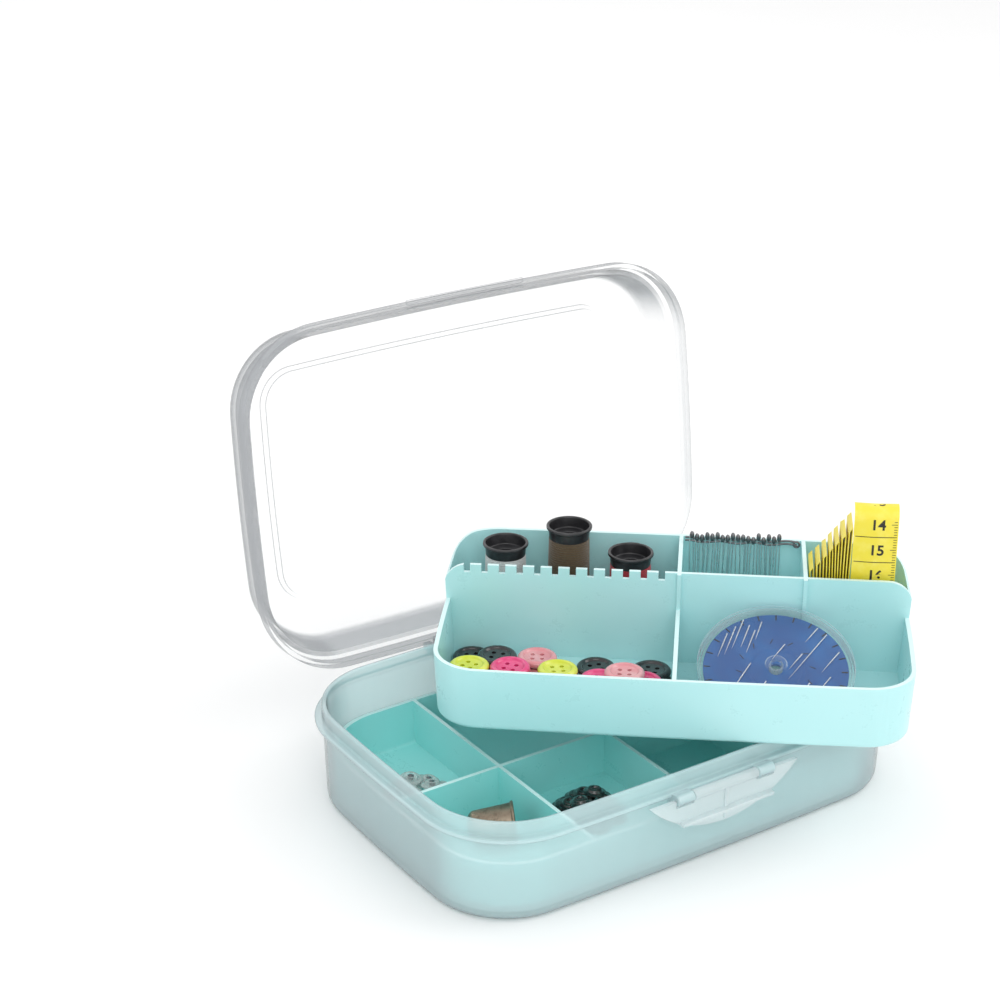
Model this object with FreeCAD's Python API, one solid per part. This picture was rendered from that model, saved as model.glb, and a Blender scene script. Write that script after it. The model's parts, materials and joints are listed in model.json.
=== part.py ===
"""Sewing box with trays: a clear hinged box, a compartment insert, a lift-out tray and what lies in them.

Millimetres. X runs along the long side, -Y is the side with the clasp, +Z is up. The origin is on
the surface that the box stands on, under the middle of the box. The lid stands open and the tray
rests askew on the rim, as the box is set out for use.
"""
import FreeCAD, Part
import math
import os

from FreeCAD import Placement, Rotation, Vector

# ---------------------------------------------------------------- outer box
BOX_LENGTH = 200.0        # over the rim flange, along X
BOX_DEPTH = 134.0         # over the rim flange, along Y
BOX_CORNER = 34.0         # plan radius of the flange's corners
SIDE_BOW = 2.0            # how far each side swells between its corners
WALL = 1.8                # clear plastic wall
FLOOR = 2.0
FLANGE_HEIGHT = 34.5      # top of the flange, where the lid seats
FLANGE_THICK = 1.8
FLANGE_OVERHANG = 2.6     # flange beyond the wall
LIP_HEIGHT = 5.0          # lip above the flange, inside the lid's skirt
BASE_DRAFT = 1.2          # lean of the wall over its height
BASE_EDGE = 4.0           # outer radius along the bottom edge

# ---------------------------------------------------------------- lid
SEAT_GAP = 0.3            # every resting face stays this far off
LIP_CLEARANCE = 0.6       # lid's skirt round the lip
LID_HEIGHT = 27.0
SKIRT_HEIGHT = 6.0
SKIRT_STEP = 2.4          # skirt stands out from the lid's wall
LID_DRAFT = 3.2
LID_EDGE = 7.0
PANEL_MARGIN = 14.0       # flat border round the raised roof panel
PANEL_RISE = 0.8
LID_OPEN_ANGLE = 97.0

# ---------------------------------------------------------------- rear hinge
HINGE_BEHIND = 2.5        # hinge axis behind the flange's edge
HINGE_BELOW = 2.6         # hinge axis below the flange's top
HINGE_SPACING = 40.0      # between the middles of the two hinges
HINGE_ROD_RADIUS = 1.5
KNUCKLE_RADIUS = 3.0
KNUCKLE_LENGTH = 16.0
PIN_CLEARANCE = 0.08      # radial, in every turning fit
SIDE_CLEARANCE = 0.3      # along an axis, beside every turning piece
LUG_THICK = 3.0
LUG_REACH = 8.0           # lug behind the hinge axis, where the open lid rests on it
LUG_TIP = 2.2             # height of the lug at its rear end
LUG_FOOT = 7.2            # lug's root on the wall below the hinge axis

# ---------------------------------------------------------------- clasp
CLASP_LENGTH = 64.0
CLASP_DROP = 14.0         # crescent below its hinge axis
CLASP_THICK = 1.6
CLASP_OUT = 2.4           # hinge axis in front of the flange's edge
CLASP_BELOW = 1.7         # hinge axis below the flange's top
CLASP_BARREL_RADIUS = 1.9
CLASP_PIN_RADIUS = 1.0
CLASP_LUG_RADIUS = 2.1
CLASP_LUG_LENGTH = 7.0
CLASP_LUG_SPACING = 35.2
CLASP_RIB_WIDTH = 1.5
HOOK_LENGTH = 40.0
HOOK_THICK = 1.2
HOOK_REACH = 2.4
CATCH_LENGTH = 52.0       # ledge on the lid that the hook holds
CATCH_THICK = 1.6
CATCH_REACH = 0.3

# ---------------------------------------------------------------- compartment insert
INSERT_HEIGHT = 18.7
INSERT_WALL = 1.5
INSERT_INSET = 6.6        # insert's rim inside the flange's edge
INSERT_DRAFT = 1.4
INSERT_EDGE = 3.0
INSERT_COLUMN = 47.0      # from the middle to the side dividers

# ---------------------------------------------------------------- upper tray
TRAY_LENGTH = 172.0
TRAY_DEPTH = 93.8
TRAY_CORNER = 18.0
TRAY_BOW = 1.2
TRAY_REAR_HEIGHT = 38.0
TRAY_FRONT_HEIGHT = 24.0
TRAY_WALL = 1.5
TRAY_DRAFT = 2.0
TRAY_EDGE = 2.0
TRAY_SHOULDER = 9.0       # round at each end of the tall section
TRAY_FRONT_CELL = 57.0    # clear depth of the front section
TRAY_SPLIT_X = (1.0, 47.0)
TRAY_RIB = 1.5
COMB_COUNT = 12
COMB_PITCH = 6.55
COMB_SLOT = 2.4
COMB_DEPTH = 3.2
COMB_START = -77.5
TRAY_TURN = -39.3         # how far the tray lies turned on the rim
TRAY_SHIFT = (22.8, -10.3)

# ---------------------------------------------------------------- spools
SPOOL_RADIUS = 8.6
SPOOL_CAP = 5.0
SPOOL_HUB_RADIUS = 4.0
SPOOL_BORE_RADIUS = 3.0
SPOOL_RIM = 0.9
THREAD_RADIUS = 7.9
SPOOL_REAR_GAP = 7.6      # behind the spools
SPOOLS = {"white": (-64.7, 38.3), "brown": (-40.8, 46.3), "red": (-17.6, 36.4)}

# ---------------------------------------------------------------- tape measure
TAPE_WIDTH = 16.0
TAPE_HEIGHT = 63.0
TAPE_LOW_FOLD = 37.5      # height of the folds at the fanned side
TAPE_HIGH_FOLD = 55.4     # height of the folds beside the front strip
TAPE_STACK = 12.65        # thickness of the folded bundle at the bottom
TAPE_FAN = 2.4            # how far its top spreads further
TAPE_SHEET = 0.6
TAPE_LEFT = 50.6          # side of the bundle nearest the pins
TAPE_IN_CELL = 3.0        # behind the notched divider
TAPE_CLIP_HEIGHT = 4.0

# ---------------------------------------------------------------- needle wheel
WHEEL_RADIUS = 28.2
WHEEL_THICK = 5.0
WHEEL_WALL = 1.2
WHEEL_DISC_RADIUS = 26.0
WHEEL_DISC_THICK = 1.2
WHEEL_COVER_THICK = 1.2
WHEEL_HUB_RADIUS = 2.4
WHEEL_RIVET_RADIUS = 4.1
WHEEL_X = 36.8
WHEEL_NEEDLES = 12
WHEEL_NEEDLE_RADIUS = 0.35
WHEEL_NEEDLE_LENGTH = 16.0
WHEEL_NOTCH = 3.2

# ---------------------------------------------------------------- small things
BUTTON_RADIUS = 7.3
BUTTON_THICK = 2.9
BUTTON_RIM = 1.4
BUTTON_DISH = 0.7
BUTTON_HOLE_RADIUS = 0.85
BUTTON_HOLE_PITCH = 1.75
HEAP_IN_FRONT = 15.0      # clear floor in front of the heap of buttons
BUTTON_STACKS = (         # colour, place along the tray, place behind the front row, lowest layer, layers
    ("yellow", -73.0, 0.0, 0, 4), ("deep_pink", -58.2, 0.0, 0, 4), ("yellow", -41.0, 0.0, 0, 4),
    ("deep_pink", -25.8, 0.0, 0, 3), ("deep_pink", -10.6, 0.0, 0, 3), ("pale_pink", -17.0, 0.0, 3, 1),
    ("black", -74.8, 25.2, 0, 1), ("black", -64.3, 14.4, 0, 3), ("pale_pink", -49.6, 14.9, 0, 3),
    ("black", -28.0, 14.9, 0, 2), ("black", -7.8, 14.9, 0, 2),
)
PIN_COUNT = 18
PIN_RADIUS = 0.35
PIN_HEAD_RADIUS = 0.8
PIN_LENGTH = 38.6
PIN_STRIP_HEIGHT = 3.6
PIN_STRIP_THICK = 2.2
PIN_HOLE_CLEARANCE = 0.1
PIN_ROW_START = 3.0       # first pin from the wall of its cell
PIN_ROW_END = 8.0         # last pin from the other wall
PIN_FOOT = 2.0            # pins' points above the tray's floor
PIN_UNEVEN = 1.4          # how much higher or lower a pin may stand
PIN_UNEVEN_STEP = 2.4     # radians of that wave from pin to pin
THIMBLE_RADIUS = 7.2
THIMBLE_TIP_RADIUS = 5.8
THIMBLE_LENGTH = 17.0
THIMBLE_WALL = 0.8
THIMBLE_CROWN = 3.5       # radius round its closed end
THIMBLE_BEAD = 0.6
THIMBLE_PLACE = (-70.0, -14.5)
THIMBLE_TURN = -30.0
STUD_RADIUS = 4.2
STUD_THICK = 2.0
STUD_CORE_RADIUS = 1.3
STUD_TOP_RADIUS = 2.6
CLEAR_HEAP = (-68.0, 22.0)
CLEAR_RINGS = ((7, 10.2), (5, 7.6), (3, 5.2))           # studs and spread, from the bottom
BLACK_HEAP = (-23.5, -22.0)
BLACK_RINGS = ((7, 10.2), (6, 9.0), (4, 6.4), (2, 4.4))
RING_TWIST = 0.37         # each ring turned by this share of its pitch

# ---------------------------------------------------------------- worked out
LID_SEAT = FLANGE_HEIGHT + SEAT_GAP
LIP_TOP = FLANGE_HEIGHT + LIP_HEIGHT
HINGE_Y = BOX_DEPTH / 2 + HINGE_BEHIND
HINGE_Z = FLANGE_HEIGHT - HINGE_BELOW
CLASP_Y = -BOX_DEPTH / 2 - CLASP_OUT
CLASP_Z = FLANGE_HEIGHT - CLASP_BELOW
INSERT_BOTTOM = FLOOR + SEAT_GAP
INSERT_TOP = INSERT_BOTTOM + INSERT_HEIGHT
INSERT_FLOOR = INSERT_BOTTOM + INSERT_WALL
TRAY_BOTTOM = LIP_TOP + SEAT_GAP
DIVIDER_Y = TRAY_WALL + TRAY_FRONT_CELL
REAR_CELL_Y = DIVIDER_Y + TRAY_WALL
CELL_FLOOR = TRAY_WALL + SEAT_GAP


def box(low, high):
    """A box between two corners."""
    size = Vector(*high) - Vector(*low)
    return Part.makeBox(size.x, size.y, size.z, Vector(*low))


def rod(start, end, radius):
    """A cylinder from one point to another."""
    axis = Vector(*end) - Vector(*start)
    return Part.makeCylinder(radius, axis.Length, Vector(*start), axis)


def prism(points, direction):
    """A closed polygon pushed along a direction."""
    corners = [Vector(*point) for point in points]
    wire = Part.makePolygon(corners + corners[:1])
    return Part.Face(wire).extrude(Vector(*direction))


def cushion(length, depth, corner, bow, inset, height):
    """A rounded rectangle with swelling sides, every arc moved inwards by the inset."""
    half_x = length / 2 - inset
    half_y = depth / 2 - inset
    radius = corner - inset
    side_x = (depth / 2) ** 2 / (2 * bow) - inset
    side_y = (length / 2) ** 2 / (2 * bow) - inset
    centre_x = half_x - side_x
    centre_y = half_y - side_y
    reach_x = side_x - radius
    reach_y = side_y - radius
    apart = math.hypot(centre_x, centre_y)
    along = (reach_x ** 2 - reach_y ** 2 + apart ** 2) / (2 * apart)
    across = math.sqrt(reach_x ** 2 - along ** 2)
    unit_x = -centre_x / apart
    unit_y = centre_y / apart
    corner_x = centre_x + along * unit_x - across * unit_y
    corner_y = along * unit_y + across * unit_x
    if corner_x < 0 or corner_y < 0:
        corner_x = centre_x + along * unit_x + across * unit_y
        corner_y = along * unit_y - across * unit_x
    from_side = Vector(corner_x - centre_x, corner_y, 0).normalize()
    from_front = Vector(corner_x, corner_y - centre_y, 0).normalize()
    middle = (from_side + from_front).normalize()
    end_side = Vector(centre_x, 0, 0) + from_side * side_x
    end_front = Vector(0, centre_y, 0) + from_front * side_y
    at_corner = Vector(corner_x, corner_y, 0) + middle * radius
    signs = [(1, 1), (-1, 1), (-1, -1), (1, -1)]
    edges = []
    for index, (sx, sy) in enumerate(signs):
        side = Vector(sx * end_side.x, sy * end_side.y, height)
        front = Vector(sx * end_front.x, sy * end_front.y, height)
        arc = Part.Arc(side, Vector(sx * at_corner.x, sy * at_corner.y, height), front)
        edges.append(arc.toShape())
        next_sx, next_sy = signs[(index + 1) % 4]
        if sx == next_sx:
            far = Vector(next_sx * end_side.x, next_sy * end_side.y, height)
            edges.append(Part.Arc(side, Vector(sx * half_x, 0, height), far).toShape())
        else:
            far = Vector(next_sx * end_front.x, next_sy * end_front.y, height)
            edges.append(Part.Arc(front, Vector(0, sy * half_y, height), far).toShape())
    return Part.Wire(Part.__sortEdges__(edges))


def drafted(outline, low_inset, high_inset, low, high):
    """A solid between two heights whose walls lean from one inset to the other."""
    bottom = cushion(*outline, low_inset, low)
    top = cushion(*outline, high_inset, high)
    return Part.makeLoft([bottom, top], True, True)


def round_edge(solid, height, radius):
    """The same solid with the edges of its face at a height rounded."""
    edges = []
    for edge in solid.Edges:
        bounds = edge.BoundBox
        if abs(bounds.ZMin - height) < 1e-4 and abs(bounds.ZMax - height) < 1e-4:
            edges.append(edge)
    return solid.makeFillet(radius, edges)


BOX_OUTLINE = (BOX_LENGTH, BOX_DEPTH, BOX_CORNER, SIDE_BOW)
TRAY_OUTLINE = (TRAY_LENGTH, TRAY_DEPTH, TRAY_CORNER, TRAY_BOW)


def box_edge_y(x):
    """Depth from the middle to the flange's rear edge at a place along X."""
    return BOX_DEPTH / 2 - SIDE_BOW * (2 * x / BOX_LENGTH) ** 2


def hinge_lug(middle):
    """One lug behind the wall: it holds the rod and stops the open lid."""
    wall_y = box_edge_y(HINGE_SPACING / 2 + KNUCKLE_LENGTH) - FLANGE_OVERHANG - WALL / 2
    reach = HINGE_Y + LUG_REACH
    lean = math.tan(math.radians(LID_OPEN_ANGLE - 90))
    stop_y = HINGE_Y + HINGE_BELOW + 3 * SEAT_GAP
    stop_z = HINGE_Z + HINGE_BEHIND - 2.5 * SEAT_GAP
    low = middle - LUG_THICK / 2
    outline = [
        (low, wall_y, HINGE_Z + HINGE_BEHIND - 2 * SEAT_GAP),
        (low, stop_y, stop_z),
        (low, reach, stop_z - (reach - stop_y) * lean),
        (low, reach, stop_z - (reach - stop_y) * lean - LUG_TIP),
        (low, HINGE_Y, HINGE_Z - KNUCKLE_RADIUS),
        (low, wall_y, HINGE_Z - LUG_FOOT),
    ]
    return prism(outline, (LUG_THICK, 0, 0))


def outer_box():
    """Clear box: floor, leaning walls, flange, lip, hinge lugs with their rods, clasp lugs."""
    height = LIP_TOP
    body = drafted(BOX_OUTLINE, FLANGE_OVERHANG + BASE_DRAFT, FLANGE_OVERHANG, 0, height)
    body = round_edge(body, 0, BASE_EDGE)
    flange = drafted(BOX_OUTLINE, 0, 0, FLANGE_HEIGHT - FLANGE_THICK, FLANGE_HEIGHT)
    body = body.fuse(flange)
    lug_step = KNUCKLE_LENGTH / 2 + SIDE_CLEARANCE + LUG_THICK / 2
    for side in (-1, 1):
        middle = side * HINGE_SPACING / 2
        half = KNUCKLE_LENGTH / 2 + SIDE_CLEARANCE
        notch_y = HINGE_Y - KNUCKLE_RADIUS - 3 * SEAT_GAP
        notch_low = (middle - half, notch_y, FLANGE_HEIGHT - 2 * FLANGE_THICK)
        body = body.cut(box(notch_low, (middle + half, HINGE_Y, FLANGE_HEIGHT + 1)))
        for step in (-lug_step, lug_step):
            body = body.fuse(hinge_lug(middle + step))
        ends = lug_step + LUG_THICK / 4
        start = (middle - ends, HINGE_Y, HINGE_Z)
        body = body.fuse(rod(start, (middle + ends, HINGE_Y, HINGE_Z), HINGE_ROD_RADIUS))
        body = body.fuse(clasp_lug(side * CLASP_LUG_SPACING / 2))
    inner_low = FLANGE_OVERHANG + BASE_DRAFT + WALL
    inner_high = FLANGE_OVERHANG + WALL
    hollow = drafted(BOX_OUTLINE, inner_low, inner_high, FLOOR, height + 1)
    hollow = round_edge(hollow, FLOOR, BASE_EDGE - WALL)
    return body.cut(hollow)


def clasp_lug(middle):
    """One bearing lug for the clasp's pin, grown out of the flange's front edge."""
    low = middle - CLASP_LUG_LENGTH / 2
    high = middle + CLASP_LUG_LENGTH / 2
    eye = rod((low, CLASP_Y, CLASP_Z), (high, CLASP_Y, CLASP_Z), CLASP_LUG_RADIUS)
    root_y = -BOX_DEPTH / 2 + FLANGE_OVERHANG + WALL / 2
    web_low = (low, CLASP_Y, CLASP_Z - CLASP_LUG_RADIUS)
    web = box(web_low, (high, root_y, FLANGE_HEIGHT - SEAT_GAP))
    bore = rod((low - 1, CLASP_Y, CLASP_Z), (high + 1, CLASP_Y, CLASP_Z), CLASP_PIN_RADIUS + PIN_CLEARANCE)
    return eye.fuse(web).cut(bore)


def lid_closed():
    """Clear lid as it sits closed: skirt, leaning wall, raised roof panel, knuckles and catch."""
    seat = LID_SEAT
    roof = seat + LID_HEIGHT
    shell = drafted(BOX_OUTLINE, SKIRT_STEP, SKIRT_STEP + LID_DRAFT, seat, roof)
    shell = round_edge(shell, roof, LID_EDGE)
    skirt = drafted(BOX_OUTLINE, 0, 0, seat, seat + SKIRT_HEIGHT)
    panel_inset = SKIRT_STEP + LID_DRAFT + PANEL_MARGIN
    panel = drafted(BOX_OUTLINE, panel_inset, panel_inset + PANEL_RISE, roof - WALL / 2, roof + PANEL_RISE)
    body = shell.fuse([skirt, panel, catch_ledge()])
    for side in (-1, 1):
        body = body.fuse(lid_knuckle(side * HINGE_SPACING / 2))
    rebate_top = LIP_TOP + LIP_CLEARANCE + SEAT_GAP
    rebate = drafted(
        BOX_OUTLINE, FLANGE_OVERHANG - LIP_CLEARANCE, FLANGE_OVERHANG - LIP_CLEARANCE, seat - 1, rebate_top
    )
    hollow = drafted(
        BOX_OUTLINE, SKIRT_STEP + WALL, SKIRT_STEP + WALL + LID_DRAFT, seat - 1, roof - WALL
    )
    hollow = round_edge(hollow, roof - WALL, LID_EDGE - WALL)
    recess = drafted(
        BOX_OUTLINE, panel_inset + WALL, panel_inset + WALL + PANEL_RISE, roof - 2 * WALL, roof + PANEL_RISE - WALL
    )
    return body.cut(rebate).cut(hollow).cut(recess)


def catch_ledge():
    """Ledge along the front of the skirt's top, held by the clasp's hook."""
    top = LID_SEAT + SKIRT_HEIGHT
    front = -BOX_DEPTH / 2 - CATCH_REACH
    back = -BOX_DEPTH / 2 + SKIRT_STEP + WALL / 2
    return box((-CATCH_LENGTH / 2, front, top - CATCH_THICK), (CATCH_LENGTH / 2, back, top))


def lid_knuckle(middle):
    """Knuckle that turns on the box's rod, with its arm from the skirt."""
    low = middle - KNUCKLE_LENGTH / 2
    high = middle + KNUCKLE_LENGTH / 2
    tube = rod((low, HINGE_Y, HINGE_Z), (high, HINGE_Y, HINGE_Z), KNUCKLE_RADIUS)
    root_y = box_edge_y(high if middle > 0 else low) - WALL / 2
    arm_top = LID_SEAT + SKIRT_HEIGHT / 2
    arm = box((low, root_y, LID_SEAT), (high, HINGE_Y + KNUCKLE_RADIUS, arm_top))
    web = box((low, HINGE_Y - WALL / 2, HINGE_Z), (high, HINGE_Y + KNUCKLE_RADIUS, arm_top))
    bore = rod(
        (low - 1, HINGE_Y, HINGE_Z), (high + 1, HINGE_Y, HINGE_Z), HINGE_ROD_RADIUS + PIN_CLEARANCE
    )
    return tube.fuse([arm, web]).cut(bore)


def lid():
    """The lid turned back on its hinge until it rests on the lugs."""
    shape = lid_closed()
    shape.rotate(Vector(0, HINGE_Y, HINGE_Z), Vector(-1, 0, 0), LID_OPEN_ANGLE)
    return shape


def clasp_flap():
    """Crescent flap that hangs in front of the wall, with its barrel, pins, rib and hook."""
    half = CLASP_LENGTH / 2
    radius = (half ** 2 + CLASP_DROP ** 2) / (2 * CLASP_DROP)
    front = CLASP_Y - CLASP_THICK / 2
    back = CLASP_Y + CLASP_THICK / 2
    disc_z = CLASP_Z - CLASP_DROP + radius
    plate = rod((0, front, disc_z), (0, back, disc_z), radius)
    plate = plate.common(box((-half, front, CLASP_Z - CLASP_DROP), (half, back, CLASP_Z)))
    lug_inner = (CLASP_LUG_SPACING - CLASP_LUG_LENGTH) / 2 - SIDE_CLEARANCE
    lug_outer = (CLASP_LUG_SPACING + CLASP_LUG_LENGTH) / 2 + SIDE_CLEARANCE
    lug_low = CLASP_Z - CLASP_LUG_RADIUS - 2 * SEAT_GAP
    for side in (-1, 1):
        ends = sorted((side * lug_inner, side * lug_outer))
        plate = plate.cut(box((ends[0], front - 1, lug_low), (ends[1], back + 1, CLASP_Z + 1)))
    barrel = rod((-lug_inner, CLASP_Y, CLASP_Z), (lug_inner, CLASP_Y, CLASP_Z), CLASP_BARREL_RADIUS)
    pin_end = lug_outer - SIDE_CLEARANCE
    pin = rod((-pin_end, CLASP_Y, CLASP_Z), (pin_end, CLASP_Y, CLASP_Z), CLASP_PIN_RADIUS)
    rib_low = (-CLASP_RIB_WIDTH / 2, front - CLASP_RIB_WIDTH / 2, CLASP_Z - CLASP_DROP + HOOK_THICK)
    rib = box(rib_low, (CLASP_RIB_WIDTH / 2, CLASP_Y, CLASP_Z))
    hook_high = CLASP_Z - (LID_SEAT + SKIRT_HEIGHT + SEAT_GAP - CLASP_Z)
    hook_low = (-HOOK_LENGTH / 2, CLASP_Y - CLASP_THICK / 2 - HOOK_REACH, hook_high - HOOK_THICK)
    hook = box(hook_low, (HOOK_LENGTH / 2, CLASP_Y, hook_high))
    return plate.fuse([barrel, pin, rib, hook])


def compartment_insert():
    """Insert with one long divider, two full-depth ones and one across the front row."""
    rim = INSERT_INSET
    foot = INSERT_INSET + INSERT_DRAFT
    body = drafted(BOX_OUTLINE, foot, rim, INSERT_BOTTOM, INSERT_TOP)
    body = round_edge(body, INSERT_BOTTOM, INSERT_EDGE)
    inner = drafted(BOX_OUTLINE, foot + INSERT_WALL, rim + INSERT_WALL, INSERT_FLOOR, INSERT_TOP + 1)
    inner = round_edge(inner, INSERT_FLOOR, INSERT_EDGE - INSERT_WALL)
    for low, high in insert_cells():
        body = body.cut(inner.common(box((*low, INSERT_FLOOR - 1), (*high, INSERT_TOP + 2))))
    return body


def insert_cells():
    """Plan corners of the seven compartments, between the middles of the walls round them."""
    half = INSERT_WALL / 2
    far_x = BOX_LENGTH / 2
    far_y = BOX_DEPTH / 2
    column = INSERT_COLUMN
    front = [(-far_x, -column), (-column, 0), (0, column), (column, far_x)]
    rear = [(-far_x, -column), (-column, column), (column, far_x)]
    cells = [((a + half, -far_y), (b - half, -half)) for a, b in front]
    cells += [((a + half, half), (b - half, far_y)) for a, b in rear]
    return cells


def in_tray(shape):
    """A shape built in the tray's own frame, put where the tray lies on the rim."""
    turn = Rotation(Vector(0, 0, 1), TRAY_TURN)
    centre = Vector(TRAY_SHIFT[0], TRAY_SHIFT[1], TRAY_BOTTOM)
    offset = turn.multVec(Vector(0, -TRAY_DEPTH / 2, 0))
    placed = shape.copy()
    placed.Placement = Placement(centre + offset, turn).multiply(shape.Placement)
    return placed


def upper_tray():
    """Tray in its own frame: X along it, Y from its front face, Z from its underside."""
    body = drafted(TRAY_OUTLINE, TRAY_DRAFT, 0, 0, TRAY_REAR_HEIGHT)
    body = round_edge(body, 0, TRAY_EDGE)
    inner = drafted(TRAY_OUTLINE, TRAY_DRAFT + TRAY_WALL, TRAY_WALL, TRAY_WALL, TRAY_REAR_HEIGHT + 1)
    inner = round_edge(inner, TRAY_WALL, TRAY_EDGE - TRAY_WALL)
    body.translate(Vector(0, TRAY_DEPTH / 2, 0))
    inner.translate(Vector(0, TRAY_DEPTH / 2, 0))
    body = body.common(tray_side_profile())
    for low, high in tray_cells():
        body = body.cut(inner.common(box((*low, 0), (*high, TRAY_REAR_HEIGHT + 2))))
    low_section = (-TRAY_LENGTH, -1, TRAY_FRONT_HEIGHT)
    body = body.cut(box(low_section, (TRAY_LENGTH, DIVIDER_Y, TRAY_REAR_HEIGHT + 1)))
    for x in TRAY_SPLIT_X:
        rib_low = (x - TRAY_RIB / 2, DIVIDER_Y - TRAY_RIB, TRAY_WALL / 2)
        body = body.fuse(box(rib_low, (x + TRAY_RIB / 2, DIVIDER_Y + TRAY_WALL / 2, TRAY_REAR_HEIGHT)))
    for index in range(COMB_COUNT):
        x = COMB_START + index * COMB_PITCH
        slot_low = (x - COMB_SLOT / 2, DIVIDER_Y - 1, TRAY_REAR_HEIGHT - COMB_DEPTH)
        body = body.cut(box(slot_low, (x + COMB_SLOT / 2, REAR_CELL_Y + 1, TRAY_REAR_HEIGHT + 1)))
    return body


def tray_side_profile():
    """Front view of the tray with rounded upper corners, pushed through its whole depth."""
    half = TRAY_LENGTH / 2
    block = box((-half, -1, 0), (half, TRAY_DEPTH + 1, TRAY_REAR_HEIGHT))
    edges = []
    for edge in block.Edges:
        bounds = edge.BoundBox
        if bounds.YLength > TRAY_DEPTH and bounds.ZMin > TRAY_REAR_HEIGHT / 2:
            edges.append(edge)
    return block.makeFillet(TRAY_SHOULDER, edges)


def tray_cells():
    """Plan corners of the tray's two front cells and three rear cells."""
    half = TRAY_WALL / 2
    far = TRAY_LENGTH / 2
    first, second = TRAY_SPLIT_X
    front = [(-far, first - half), (first + half, far)]
    rear = [(-far, first - half), (first + half, second - half), (second + half, far)]
    cells = [((a, -1), (b, DIVIDER_Y)) for a, b in front]
    cells += [((a, REAR_CELL_Y), (b, TRAY_DEPTH)) for a, b in rear]
    return cells


def spool_place(name):
    """Foot of a spool's axis in the tray's frame, and the spool's height."""
    x, height = SPOOLS[name]
    y = TRAY_DEPTH - TRAY_DRAFT - SPOOL_REAR_GAP - SPOOL_RADIUS
    return Vector(x, y, CELL_FLOOR), height


def spool_core(name):
    """Black spool with a hollow cap at each end."""
    foot, height = spool_place(name)
    radius = SPOOL_RADIUS
    cap = SPOOL_CAP
    neck = THREAD_RADIUS - 2 * SPOOL_RIM
    half = [
        (SPOOL_BORE_RADIUS, SPOOL_RIM),
        (radius - 2 * SPOOL_RIM, SPOOL_RIM),
        (radius - SPOOL_RIM, 0),
        (radius, 0),
        (radius, SPOOL_RIM),
        (neck, cap - SPOOL_RIM),
        (neck, cap),
        (SPOOL_HUB_RADIUS, cap),
        (SPOOL_HUB_RADIUS, height - cap),
        (neck, height - cap),
        (neck, height - cap + SPOOL_RIM),
        (radius, height - SPOOL_RIM),
        (radius, height),
        (radius - SPOOL_RIM, height),
        (radius - 2 * SPOOL_RIM, height - cap + SPOOL_RIM),
        (SPOOL_BORE_RADIUS, height - cap + SPOOL_RIM),
    ]
    points = [Vector(r, 0, z) for r, z in half]
    face = Part.Face(Part.makePolygon(points + points[:1]))
    shape = face.revolve(Vector(0, 0, 0), Vector(0, 0, 1), 360)
    shape.translate(foot)
    return shape


def spool_thread(name):
    """Thread wound between the two caps."""
    foot, height = spool_place(name)
    length = height - 2 * SPOOL_CAP
    outer = Part.makeCylinder(THREAD_RADIUS, length, foot + Vector(0, 0, SPOOL_CAP))
    return outer.cut(Part.makeCylinder(SPOOL_HUB_RADIUS, length, foot + Vector(0, 0, SPOOL_CAP)))


def tape_y():
    """Front face of the standing tape measure in the tray's frame."""
    return REAR_CELL_Y + TAPE_IN_CELL


def tape_folds():
    """Bundle of folds that spreads and drops towards one side."""
    y = tape_y()
    right = TAPE_LEFT + TAPE_STACK
    outline = [
        (TAPE_LEFT, y, CELL_FLOOR),
        (right, y, CELL_FLOOR),
        (right, y, CELL_FLOOR + TAPE_HIGH_FOLD),
        (TAPE_LEFT - TAPE_FAN, y, CELL_FLOOR + TAPE_LOW_FOLD),
    ]
    return prism(outline, (0, TAPE_WIDTH, 0))


def tape_front_strip():
    """Last length of the tape, turned to face the front."""
    y = tape_y()
    left = TAPE_LEFT + TAPE_STACK + SEAT_GAP / 3
    low = (left, y, CELL_FLOOR + TAPE_CLIP_HEIGHT)
    return box(low, (left + TAPE_WIDTH, y + TAPE_SHEET, CELL_FLOOR + TAPE_HEIGHT))


def tape_end_clip():
    """Folded metal end on the tape."""
    y = tape_y()
    left = TAPE_LEFT + TAPE_STACK + SEAT_GAP / 3
    low = (left, y - TAPE_SHEET / 2, CELL_FLOOR)
    return box(low, (left + TAPE_WIDTH, y + 1.5 * TAPE_SHEET, CELL_FLOOR + TAPE_CLIP_HEIGHT))


def wheel_lean():
    """Lean at which the wheel just fits between the front wall and the tall divider."""
    front = TRAY_WALL + TRAY_DRAFT + 2 * SEAT_GAP
    room = DIVIDER_Y - SEAT_GAP - front
    across = math.hypot(2 * WHEEL_RADIUS, WHEEL_THICK)
    return math.atan2(WHEEL_THICK, 2 * WHEEL_RADIUS) + math.acos(min(1.0, room / across))


def lean_wheel(shape):
    """A wheel piece built flat about Z, leaned back against the tall divider."""
    lean = wheel_lean()
    centre_y = DIVIDER_Y - SEAT_GAP - WHEEL_RADIUS * math.cos(lean)
    centre_z = CELL_FLOOR + WHEEL_RADIUS * math.sin(lean)
    placed = shape.copy()
    placed.rotate(Vector(0, 0, 0), Vector(1, 0, 0), math.degrees(lean))
    placed.translate(Vector(WHEEL_X, centre_y, centre_z))
    return placed


def wheel_case():
    """Clear round case with a wall and an upright hub post."""
    shell = Part.makeCylinder(WHEEL_RADIUS, WHEEL_THICK - WHEEL_COVER_THICK - SEAT_GAP)
    inner = Part.makeCylinder(WHEEL_RADIUS - WHEEL_WALL, WHEEL_THICK, Vector(0, 0, WHEEL_WALL))
    return shell.cut(inner)


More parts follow.
